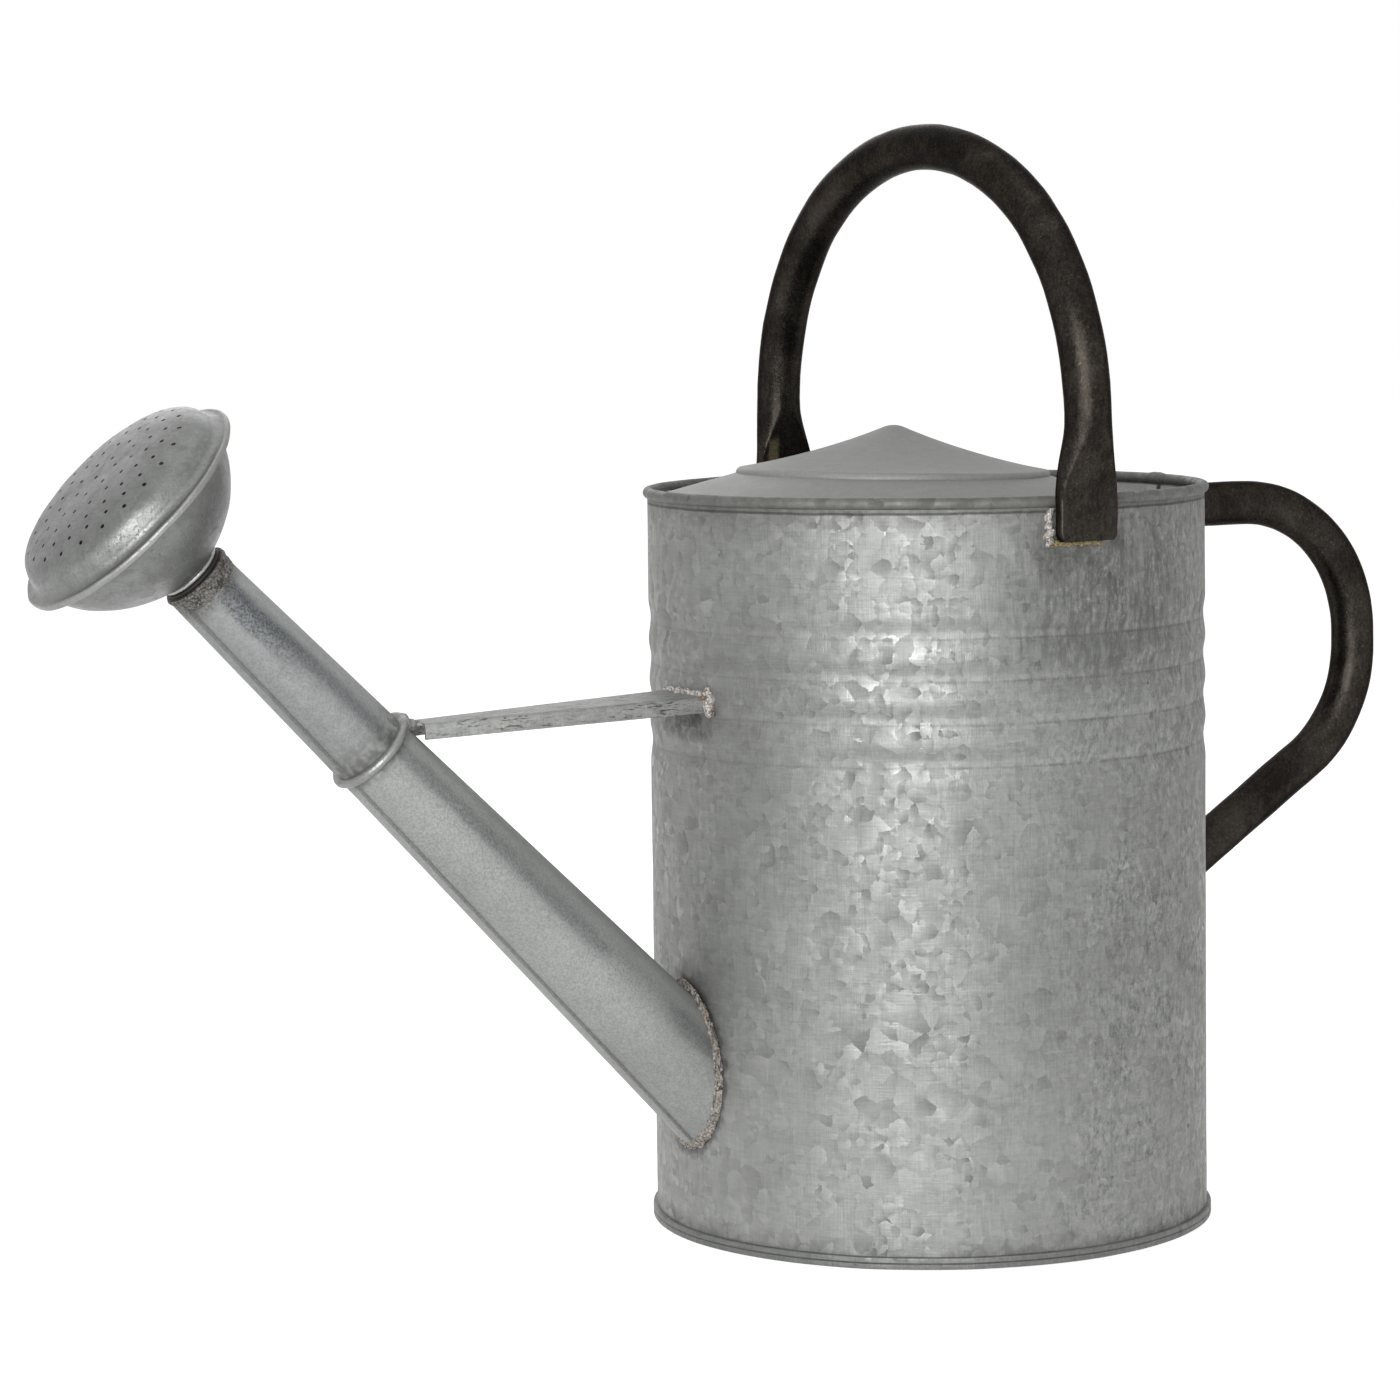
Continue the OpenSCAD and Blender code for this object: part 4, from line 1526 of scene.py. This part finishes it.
@dataclass
class Cover(Part):
    """Half cover with its cone, skirt and folded hem, in millimetres."""

    offset: float = 14.0
    lift: float = 6.0
    ring_r: float = 59.0
    cone_h: float = 17.4
    cone_row: float = 4.0
    flare: float = 0.47
    tip_r: float = 10.0
    shoulder: float = 2.0
    slope: float = 0.3
    skirt_row: float = 6.0
    skirt_end: float = 124.0
    tilt: float = 1.5
    edge_x: float = 48.0
    hem: float = 6.0
    hem_gap: float = 0.12
    hem_fold: float = 0.7
    sheet: float = 0.8
    inner_r: float = 104.2
    block_h: float = 120.0
    rim_d: float = 4.2
    dents: tuple[float, float] = (42, 0.5)
    steps: int = 144
    rim_steps: int = 168

    def height(self, r: float) -> float:
        """Gives the cone's height at a radius."""
        share = r / self.ring_r
        return self.shoulder + self.cone_h * (1 - share) * (1 - self.flare * share)

    def angle(self, r: float) -> float:
        """Gives the cone's slope at a radius, in radians."""
        fall = self.cone_h / self.ring_r * (1 + self.flare - 2 * self.flare * r / self.ring_r)
        return math.atan(fall)

    def line(self, depth: float) -> list[tuple[float, float]]:
        """Draws the cover's line from its tip to beyond its skirt.

        Args:
            depth: How far the line is moved inwards.

        Returns:
            Points of (radius, height) on the line.
        """
        steep = math.atan(self.cone_h / self.ring_r * (1 + self.flare))
        edge = self.tip_r * math.sin(steep)
        top = self.height(edge) + self.tip_r * (1 - math.cos(steep)) - self.tip_r
        points = arc((0, top), self.tip_r - depth, 90, 90 - math.degrees(steep), 5)[:-1]
        end = self.ring_r - self.shoulder
        for r in (edge, *rows(edge, end, self.cone_row), end):
            lean = self.angle(r)
            points.append((r - depth * math.sin(lean), self.height(r) - depth * math.cos(lean)))
        lean = self.angle(end)
        centre = (end, self.height(end) - self.shoulder * math.cos(lean))
        points += arc(centre, self.shoulder - depth, 66, 0, 5)
        grow = math.sqrt(1 + self.slope**2)
        points.append((self.ring_r - depth, self.slope * depth - depth * grow))
        for r in (*rows(self.ring_r, self.skirt_end, self.skirt_row), 2 * self.inner_r):
            points.append((r, -self.slope * (r - self.ring_r) - depth * grow))
        return points

    def skin(self, top: float, under: float) -> Piece:
        """Turns one layer of the cover and puts it in place.

        Args:
            top: The depth of its upper side.
            under: The depth of its lower side.

        Returns:
            The layer, still round and too wide.
        """
        piece = Bench.lathe(self.line(top) + self.line(under)[::-1], self.steps)
        place = Vector((-self.offset, 0, self.layout.rim_z / MM + self.lift)) * MM
        Bench.set_down(piece, place, math.radians(self.tilt))
        return piece

    def zone(self, start: float) -> Piece:
        """Makes the block of the can's inside that a layer fills.

        Args:
            start: Where it starts along X; it ends at the cover's straight edge.

        Returns:
            The block.
        """
        size = (self.inner_r * MM, self.block_h * MM)
        piece = Bench.rod(*size, self.layout.rim_z, self.rim_steps)
        for x, way in ((self.edge_x, 1), (start, -1)):
            Bench.edit(piece)
            bpy.ops.mesh.bisect(
                plane_co=(x * MM, 0, 0), plane_no=(way, 0, 0), use_fill=True, clear_outer=True
            )
            bpy.ops.object.mode_set(mode="OBJECT")
        return piece

    def build(self) -> None:
        """Builds the cover with the hem folded under its straight edge."""
        piece = self.skin(0, self.sheet)
        Bench.cut(piece, self.zone(-2 * self.inner_r), Cut.SHARED)
        under = self.skin(self.sheet + self.hem_gap, 2 * self.sheet)
        Bench.cut(under, self.zone(self.edge_x - self.hem), Cut.SHARED)
        fold = self.skin(0.1, 2 * self.sheet - 0.1)
        Bench.cut(fold, self.zone(self.edge_x - self.hem_fold), Cut.SHARED)
        Bench.cut(piece, under, Cut.BOTH)
        Bench.cut(piece, fold, Cut.BOTH)
        rim = (self.layout.rim_r / MM, self.layout.rim_z / MM)
        bead = Bench.lathe(arc(rim, self.rim_d / 2 + 0.02, 0, 345, 23), self.rim_steps)
        Bench.cut(piece, bead, Cut.REST)
        self.shop.deliver(piece, "cover", "hood", self.finishes.cover, dents=self.dents)
        self.shop.cast("hood_solder", "cover_bead", self.finishes.bead, 0.5, (3, 0.6, 0.5))


@dataclass
class Spout(Part):
    """The two spout tubes, their collar, the socket and the beads, in millimetres."""

    joint: float = 178.5
    collar_r: float = 17.4
    collar_w: float = 3.6
    collar_steps: int = 112
    collar_dents: tuple[float, float] = (9, 0.15)
    seat_r: float = 14.35
    root_top: float = 82.0
    root_fit: tuple[float, float, float] = (1, 0.965, 0.95)
    tip_r: float = 12.1
    tip_t: float = 269.0
    tip_steps: int = 150
    tip_row: float = 0.5
    coat_w: float = 5.0
    coat: float = 0.5
    lip_r: float = 13.2
    lip_t: float = 269.2
    lip_round: float = 0.9

    def tip(self) -> None:
        """Turns the thin coat of solder round the tip, ragged towards the root."""
        low = self.tip_t - self.coat_w
        inner = self.tip_r - 0.3
        nose = (self.lip_r - self.lip_round, self.lip_t + 0.75)
        outside = rows(low + 1.2, self.lip_t - 0.2, self.tip_row)
        outline = [
            (self.tip_r - 0.1, low),
            (self.tip_r + 0.35, low + 1.2),
            *[(self.tip_r + self.coat, t) for t in outside],
            *arc(nose, self.lip_round, -50, 90, 7),
            (inner, nose[1] + self.lip_round),
            (inner, low),
        ]
        piece = Bench.lathe(outline, self.tip_steps)
        self.set(piece)
        Bench.roughen(piece, Clouds.LUMPS, 2.4, 0.9)
        Bench.roughen(piece, Clouds.LUMPS, 0.8, 0.3)
        finish, slot = self.finishes.tip_bead, Slot.SOLDER
        self.shop.deliver(piece, "tip_bead", "spout_tip_solder", finish, slot=slot, angle=60)

    def collar(self) -> None:
        """Turns the half-round collar over the joint."""
        half = self.collar_w / 2
        nose = arc((self.collar_r - half, self.joint), half, -90, 90, 14)
        outline = [(self.seat_r, self.joint - half), *nose]
        outline += [(self.seat_r, self.joint + half), (self.seat_r, self.joint)]
        piece = Bench.lathe(outline, self.collar_steps)
        self.set(piece)
        finish, dents = self.finishes.trim, self.collar_dents
        self.shop.deliver(piece, "spout_ring", "spout_collar", finish, dents=dents)

    def build(self) -> None:
        """Builds the collar and the beads and dresses the tubes."""
        for node in ("spout_lower", "spout_upper"):
            self.shop.dress(node, self.finishes.spout)
        self.shop.dress("spout_socket", self.finishes.tip_bead)
        self.collar()
        finish, lumps = self.finishes.seam, (2.6, 1.6, 0.8)
        bead = self.shop.cast("spout_root_solder", "root_bead", finish, 0.35, lumps)
        Bench.edit(bead)
        centre = (-self.layout.can_r, 0, self.root_top * MM)
        bpy.ops.transform.resize(value=self.root_fit, center_override=centre)
        Bench.clear()
        self.tip()


@dataclass
class Brace(Part):
    """Channel-shaped strip between the can and the spout, in millimetres."""

    length: float = 114.3
    root_w: float = 33.0
    tip_w: float = 15.0
    side_h: float = 5.9
    thick: float = 1.2
    fall: float = 2.0
    tongue_w: float = 9.0
    tongue_len: float = 6.0
    tongue_edge: float = 0.25
    back: float = 12.0
    fold_r: float = 1.5
    edge: float = 0.12
    tube: tuple[tuple[float, float], ...] = ((0, 0), (20.0, 0), (14.6, 178.5), (0, 178.5))
    tube_steps: int = 96
    dents: tuple[float, float] = (12, 0.3)
    voxel: float = 0.28

    def channel(self) -> Piece:
        """Folds the tapered channel, drawn from the wall outwards along +X.

        Returns:
            The channel, at the origin.
        """
        end = self.length - self.tongue_len
        spread = (self.root_w - self.tip_w) / 2 / end
        half = self.root_w / 2 + spread * self.back
        piece = Bench.box((-self.back, -half, -self.side_h), (end, half, 0))
        Bench.pick(piece, Pick.POINTS, lambda at, _: at.x > 0)
        taper = (1, self.tip_w / 2 / half, 1)
        bpy.ops.transform.resize(value=taper, center_override=(end * MM, 0, 0))
        bpy.ops.object.mode_set(mode="OBJECT")
        Bench.pick(piece, Pick.FACES, lambda _, way: abs(way.x) > 0.7 or way.z < -0.7)
        bpy.ops.mesh.delete(type="FACE")
        bpy.ops.mesh.select_mode(type="VERT")
        bpy.ops.object.mode_set(mode="OBJECT")
        Bench.modify(piece, "BEVEL", width=self.fold_r * MM, segments=5)
        Bench.modify(piece, "SOLIDIFY", thickness=self.thick * MM, offset=-1)
        Bench.tidy(piece)
        return piece

    def build(self) -> None:
        """Builds the brace with its tongue, trims both ends and adds the beads."""
        piece = self.channel()
        start = self.length - self.tongue_len - self.fold_r
        half = self.tongue_w / 2
        tongue = Bench.box((start, -half, -self.thick), (self.length + 3, half, -0.01))
        Bench.modify(tongue, "BEVEL", width=self.tongue_edge * MM, segments=3)
        Bench.cut(piece, tongue, Cut.BOTH)
        wall = Vector((-self.layout.can_r, 0, self.layout.brace_z))
        Bench.set_down(piece, wall, math.radians(self.fall), math.pi)
        Bench.cut(piece, self.layout.can_core(0.04), Cut.REST)
        tube = Bench.lathe(self.tube, self.tube_steps)
        self.set(tube)
        Bench.cut(piece, tube, Cut.REST)
        Bench.modify(piece, "BEVEL", width=self.edge * MM, segments=2, limit_method="ANGLE")
        self.shop.deliver(piece, "brace_strip", "brace", self.finishes.brace, dents=self.dents)
        self.beads()

    def beads(self) -> None:
        """Melts drops of solder over the brace's root and its tongue."""
        top = self.layout.brace_z / MM
        wall = self.layout.can_r / MM

        def drop(y: float, up: float, size: float, out: float = 0.4) -> Drop:
            """Places one drop on the wall."""
            return (-math.sqrt(wall**2 - y**2) - out, y, top + up, size)

        root = []
        for i in range(24):
            size = 1.25 + 0.35 * math.sin(i * 2.3) + 0.25 * math.sin(i * 5.1)
            root.append(drop(15.5 - i * 1.38, 0.4, size, 0.3))
        for y, up, size in (
            (-17.0, 0.6, 2.2), (-17.6, -1.2, 2.5), (-17.0, -3.0, 2.0),
            (-17.7, -4.6, 1.9), (-18.2, -6.2, 1.7), (-17.0, 2.6, 1.1),
        ):
            root.append(drop(y, up, size))
        rust = (-math.sqrt(wall**2 - 17.2**2) - 2.1, -17.5, top - 0.3, 1.15)
        tip = wall + self.length
        under = top - self.length * math.tan(math.radians(self.fall)) - 0.8
        tongue = [
            (-tip + along, side, under + up, size)
            for along, side, up, size in (
                (0.3, -3.2, 0.4, 2.8), (0.3, 3.2, 0.4, 2.8), (0.0, 0.0, 1.4, 3.2),
                (2.6, -3.0, 0.4, 2.3), (2.6, 2.4, 0.4, 2.3), (4.6, -1.8, 0.4, 1.4),
                (4.6, 1.4, 0.4, 1.4), (6.6, 0.0, 0.5, 1.2),
            )
        ]
        finishes, ends = self.finishes, ("brace_body_solder", "brace_spout_solder")
        for node, name, finish, voxel, lumps, drops in (
            (ends[0], "brace_root_bead", finishes.bead, self.voxel, (2.0, 1.0, 0.5), root),
            (ends[0], "brace_rust", finishes.rust, 0.22, (1.6, 0.4, 0.4), [rust]),
            (ends[1], "brace_tip_bead", finishes.brace, self.voxel, (2.0, 0.8, 0.5), tongue),
        ):
            self.shop.cast(node, name, finish, voxel, lumps, drops)


@dataclass
class Handles(Part):
    """Carrying bow and rear grip of one dark tube, in millimetres and degrees."""

    tube_d: float = 17.0
    sides: int = 56
    foot_z: float = 261.5
    foot_top: float = 279.5
    foot_half: float = 12.4
    foot_shift: float = 1.0
    foot_t: float = 4.4
    foot_in: float = 106.75
    foot_row: float = 1.2
    corner_h: float = 3.0
    corner_in: float = 1.6
    press_top: float = 307.0
    broad_z: float = 275.0
    spring_z: float = 303.0
    side_r: float = 97.667
    side_y: float = 13.483
    top_r: float = 126.6
    rise: float = 101.0
    bow_steps: int = 22
    grip_z: float = 265.0
    grip_x: float = 146.7
    grip_r: float = 53.0
    grip_straight: float = 6.0
    grip_fall: float = 32.8
    grip_start: float = 6.0
    grip_row: float = 5.0
    grip_steps: int = 30
    dents: tuple[float, float] = (16, 0.5)
    angle: float = 40.0

    def tube(self, line: Sequence[tuple[float, float, float]], axis: Axis) -> Piece:
        """Bends the tube along a line.

        Args:
            line: The reach, the height and the turn of each ring.
            axis: The axis that the tube bends about.

        Returns:
            The closed tube.
        """
        size = self.tube_d * MM
        rings = []
        for reach, up, turn in line:
            middle = Vector((0, reach, up) if axis is Axis.X else (reach, 0, up)) * MM
            rings.append(Ring(middle, math.radians(turn), size))
        return Bench.sweep(rings, axis, self.sides)

    def finish(self, piece: Piece, name: str, node: str) -> None:
        """Finishes one of the two handles."""
        look = {"slot": Slot.TUBE, "dents": self.dents, "angle": self.angle}
        self.shop.deliver(piece, name, node, self.finishes.tube, **look)

    def bow(self) -> None:
        """Bends the bow and flattens its feet."""
        half = self.foot_in + self.foot_t
        turn = 90 - math.degrees(math.atan2(self.side_y, self.top_r - self.rise))
        heights = [self.foot_z, *rows(self.foot_z, self.spring_z, self.foot_row), self.spring_z]
        line = [(-half, z, 0.0) for z in heights[:-1]]
        top_z = self.spring_z + self.rise - self.top_r
        for y, z, radius, start, end in (
            (-self.side_y, self.spring_z, self.side_r, 0.0, turn),
            (0.0, top_z, self.top_r, turn, 180 - turn),
            (self.side_y, self.spring_z, self.side_r, 180 - turn, 180.0),
        ):
            for i in range(self.bow_steps):
                a = start + (end - start) * i / self.bow_steps
                bend = math.radians(a)
                line.append((y - radius * math.cos(bend), z + radius * math.sin(bend), -a))
        line += [(half, z, -180.0) for z in reversed(heights)]
        piece = self.tube(line, Axis.X)
        self.press(piece, half)
        self.finish(piece, "carrying_bow", "bow_handle")

    @staticmethod
    def blend(share: float) -> float:
        """Rises smoothly from 0 to 1."""
        share = min(max(share, 0), 1)
        return share * share * (3 - 2 * share)

    def press(self, piece: Piece, half: float) -> None:
        """Flattens the bow's two ends round the can's rim, as in a press.

        Args:
            piece: The bent tube.
            half: The distance of its legs from the can's axis.
        """
        tube = self.tube_d / 2
        for vertex in piece.data.vertices:
            x, y, z = vertex.co / MM
            if z > self.press_top:
                continue
            front = self.blend((self.press_top - z) / (self.press_top - self.broad_z))
            behind = self.blend((self.press_top - z) / (self.press_top - self.foot_top))
            side = math.copysign(1, y)
            turn = math.atan2(abs(y) - half, x)
            inner = math.hypot(abs(y) - half, x) < 0.1
            corner = min(max((self.foot_z + self.corner_h - z) / self.corner_h, 0), 1)
            wide = tube + (self.foot_half - tube) * front - self.corner_in * corner * corner
            across = 0 if inner else wide * math.cos(turn)
            middle = half + (self.foot_in + self.foot_t / 2 - half) * behind
            out = middle + (0 if inner else tube * math.sin(turn))
            outside = half + tube + (self.foot_in + self.foot_t - half - tube) * front
            inside = half - tube + (self.foot_in - half + tube) * behind
            out = min(max(out, inside), outside)
            across += self.foot_shift * front
            wrap = across * across / 2 / self.foot_in * behind
            vertex.co = Vector((across, side * (out - wrap), z)) * MM

    def grip(self) -> None:
        """Bends the rear grip and trims its ends to the wall."""
        core = self.layout.can_r / MM - self.grip_start
        line = [(x, self.grip_z, 90.0) for x in (core, *rows(core, self.grip_x, self.grip_row))]
        middle = self.grip_z - self.grip_r
        for z, start, end in (
            (middle, 90.0, 180.0),
            (middle - self.grip_straight, 180.0, 180.0 + 90 - self.grip_fall),
        ):
            for i in range(self.grip_steps + 1):
                a = start + (end - start) * i / self.grip_steps
                bend = math.radians(a - 90)
                x, up = math.sin(bend), math.cos(bend)
                line.append((self.grip_x + self.grip_r * x, z + self.grip_r * up, a))
        x, z, a = line[-1]
        fall = math.radians(self.grip_fall)
        run = (x - core) / math.cos(fall)
        for part in (*rows(0, run, self.grip_row), run):
            line.append((x - part * math.cos(fall), z - part * math.sin(fall), a))
        piece = self.tube(line, Axis.Y)
        Bench.cut(piece, self.layout.can_core(-0.4), Cut.REST)
        self.finish(piece, "rear_grip", "rear_handle")

    def build(self) -> None:
        """Builds both handles and their beads."""
        self.bow()
        self.grip()
        lumps = (4, 3.2, 0.6)
        for end in ("upper", "lower"):
            node, name = f"rear_solder_{end}", f"grip_bead_{end}"
            self.shop.cast(node, name, self.finishes.bead, 0.35, lumps)
        self.bow_beads("near", -1)
        self.bow_beads("far", 1)

    def bow_beads(self, end: str, side: int) -> None:
        """Melts silver drops beside a foot of the bow and a thin line of brass under it.

        Args:
            end: The foot's name.
            side: The foot's side, -1 or 1 along Y.
        """
        wall = self.layout.can_r / MM

        def drop(x: float, up: float, size: float) -> Drop:
            """Places one drop on the wall."""
            return (x, side * (math.sqrt(wall**2 - x**2) + 0.35), self.foot_z + up, size)

        silver = [
            drop(x + 0.3, up, size * 0.88)
            for x, up, size in (
                (-11.8, 11.4, 1.2), (-12.4, 10.0, 1.7), (-13.2, 8.6, 1.6),
                (-12.4, 7.0, 1.3), (-13.0, 5.4, 1.9), (-12.3, 3.6, 2.0),
                (-13.2, 2.2, 2.0), (-12.7, 0.4, 1.8), (-13.4, -0.8, 1.3),
            )
        ]
        brass = [
            drop(x, -0.6 - 0.3 * math.sin(x), 1.3 + 0.15 * math.sin(2.3 * x))
            for x in rows(-12.5, 9.5, 1.1)
        ]
        for kind, finish, lumps, drops in (
            ("bead", self.finishes.bead, (1.8, 1.2, 0.5), silver),
            ("brass", self.finishes.brass, (1.6, 0.5, 0.5), brass),
        ):
            node, name = f"bow_solder_{end}", f"bow_{kind}_{end}"
            self.shop.cast(node, name, finish, 0.25, lumps, drops)


@dataclass
class Rose(Part):
    """Seal, neck, bowl and spray face of the rose, in millimetres along the spout."""

    bore_r: float = 9.5
    spigot_r: float = 10.3
    spigot_low: float = 256.0
    lip_top: float = 271.0
    seal_r: float = 11.8
    seal_in: float = 10.35
    seal_top: float = 272.6
    neck_r: float = 11.7
    neck_top: float = 274.6
    stub: float = 2.0
    bowl_r: float = 41.0
    bowl_deep: float = 32.5
    bowl_power: float = 1.64
    bowl_rows: int = 36
    rim_r: float = 46.3
    hem: float = 3.2
    sheet: float = 0.8
    dome_r: float = 41.7
    dome_h: float = 14.7
    dome_power: float = 3.0
    dome_rows: int = 34
    flare: float = 3.4
    hole_d: float = 1.3
    twist: float = 500.0
    tube_steps: int = 96
    steps: int = 144
    dents: tuple[float, float] = (18, 0.8)
    rings: tuple[tuple[float, int], ...] = (
        (0.0, 1), (0.215, 7), (0.41, 14), (0.575, 18), (0.72, 22), (0.84, 22)
    )

    def foot(self) -> float:
        """Gives the depth at which the bowl meets the neck."""
        share = 1 - (self.neck_r / self.bowl_r) ** self.bowl_power
        return self.bowl_deep * share ** (1 / self.bowl_power)

    def oval(self, radius: float, height: float, power: float, count: int) -> Points:
        """Draws a full oval quarter from its wide end up.

        Args:
            radius: Its half width.
            height: Its height.
            power: How square it is; 2 gives an ellipse.
            count: The number of its steps.

        Returns:
            Points of (radius, height) on it.
        """
        points = []
        for i in range(count + 1):
            a = math.radians(i * 90 / count)
            across = radius * abs(math.cos(a)) ** (2 / power)
            points.append((across, height * abs(math.sin(a)) ** (2 / power)))
        return points

    def seal(self) -> None:
        """Turns the washer with its rounded edge."""
        middle = (self.lip_top + self.seal_top) / 2
        half = (self.seal_top - self.lip_top) / 2 - 0.02
        nose = arc((self.seal_r - half, middle), half, -90, 90, 8)
        outline = [(self.seal_in, middle - half), *nose, (self.seal_in, middle + half)]
        piece = Bench.lathe(outline, self.tube_steps)
        self.set(piece)
        look = {"body": Body.SEAL, "slot": Slot.RUBBER, "angle": 50}
        self.shop.deliver(piece, "rubber_washer", "rose_seal", self.finishes.rubber, **look)

    def neck(self) -> None:
        """Turns the spigot with the collar that rests on the washer."""
        middle = (self.seal_top + self.neck_top) / 2
        half = (self.neck_top - self.seal_top) / 2
        nose = arc((self.neck_r - half, middle), half, -90, 90, 10)
        top = self.neck_top + self.stub
        low = self.spigot_low
        outline = [
            (self.bore_r, low),
            (self.spigot_r - 0.3, low),
            (self.spigot_r, low + 0.6),
            (self.spigot_r, self.seal_top),
            *nose,
            (self.spigot_r, self.neck_top),
            (self.spigot_r, top),
            (self.bore_r, top),
        ]
        piece = Bench.lathe(outline, self.tube_steps)
        self.set(piece)
        self.shop.deliver(piece, "rose_spigot", "rose_neck", self.finishes.tin, Body.ROSE)

    def bowl(self) -> None:
        """Turns the bowl with its flange."""
        foot, thick = self.foot(), self.sheet
        shape = (self.bowl_power, self.bowl_rows)
        outer = self.oval(self.bowl_r, self.bowl_deep, *shape)
        inner = self.oval(self.bowl_r - thick, self.bowl_deep - thick, *shape)
        inside = [(r, -h) for r, h in inner if r > self.neck_r and h < foot - thick]
        edge = self.rim_r - thick
        outline = [
            *[(r, -h) for r, h in outer if r > self.neck_r],
            (self.neck_r, -foot),
            (self.spigot_r, -foot),
            (self.spigot_r, thick - foot),
            (self.neck_r, thick - foot),
            *reversed(inside),
            (self.bowl_r - thick, thick),
            (edge, thick),
            (edge, 0),
        ]
        self.sheet_piece(Bench.lathe(outline, self.steps), "rose_cup", "rose_bowl")

    def sheet_piece(self, piece: Piece, name: str, node: str) -> None:
        """Sets the bowl or the face on the neck and finishes it.

        Args:
            piece: The turned bowl or face.
            name: The piece's name.
            node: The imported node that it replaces.
        """
        self.set(piece, self.neck_top + self.foot())
        look = {"body": Body.ROSE, "dents": self.dents}
        self.shop.deliver(piece, name, node, self.finishes.rose, **look)

    def punches(self) -> Piece:
        """Makes the punches of all the spray holes, each with a shallow dimple.

        Returns:
            The punches as one mesh, over the dome.
        """
        half = self.hole_d / 2
        outline = [(0, -2), (half, -2), (half, -0.1), (half * 1.5, 0.6), (0, 0.6)]
        first = Bench.lathe(outline, 12)
        made = []
        for share, count in self.rings:
            r = share * self.dome_r
            rest = 1 - share**self.dome_power
            up = self.dome_h * rest ** (1 / self.dome_power)
            fall = self.dome_h / self.dome_r * share ** (self.dome_power - 1)
            lean = math.atan(fall * rest ** (1 / self.dome_power - 1))
            for i in range(count):
                turn = math.radians(i * 360 / count + self.twist * share)
                punch = first.copy()
                punch.data = first.data.copy()
                bpy.context.scene.collection.objects.link(punch)
                punch.rotation_euler = (0, lean, turn)
                x, y = r * math.cos(turn), r * math.sin(turn)
                punch.location = Vector((x, y, up + 2 * self.sheet)) * MM
                made.append(punch)
        bpy.data.objects.remove(first)
        Bench.hold(*made)
        bpy.ops.object.transform_apply()
        return Bench.join(*made)

    def face(self) -> None:
        """Turns the domed face, punches its holes and folds its rim over the bowl's flange."""
        up, thick = 2 * self.sheet, self.sheet
        shape = (self.dome_power, self.dome_rows)
        outer = self.oval(self.dome_r, self.dome_h, *shape)
        inner = self.oval(self.dome_r - thick, self.dome_h - thick, *shape)
        lip = self.rim_r - self.hem
        edge = self.rim_r - thick
        outline = [
            *[(r, h + up) for r, h in reversed(outer) if h > self.flare],
            *arc((self.dome_r + self.flare, up + self.flare), self.flare, 180, 270, 8),
            *arc((self.rim_r - 1.0, 0.6), 1.0, 90, 0, 5),
            *arc((self.rim_r - 0.6, -0.2), 0.6, 0, -90, 4),
            (lip, -thick),
            (lip, 0),
            (edge, 0),
            (edge, thick),
            (self.dome_r - thick, thick),
            *[(r, h + up) for r, h in inner],
        ]
        piece = Bench.lathe(outline, self.steps)
        Bench.cut(piece, self.punches(), Cut.REST)
        self.sheet_piece(piece, "spray_face", "rose_face")

    def build(self) -> None:
        """Builds the whole rose."""
        self.seal()
        self.neck()
        self.bowl()
        self.face()
        finish, lumps = self.finishes.bead, (1.4, 0.5, 0.5)
        self.shop.cast("rose_neck_solder", "neck_bead", finish, 0.25, lumps, body=Body.ROSE)


def main() -> None:
    """Builds the can round its frame."""
    logging.basicConfig(level=logging.INFO, format="%(message)s")
    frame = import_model()
    layout = Layout(frame)
    finishes = Finishes(layout)
    shop = Shop(frame)
    for part in (Can, Cover, Spout, Brace, Handles, Rose):
        LOG.info("building %s", part.__name__)
        part(shop, layout, finishes).build()
    Studio().build()


if __name__ == "__main__":
    main()
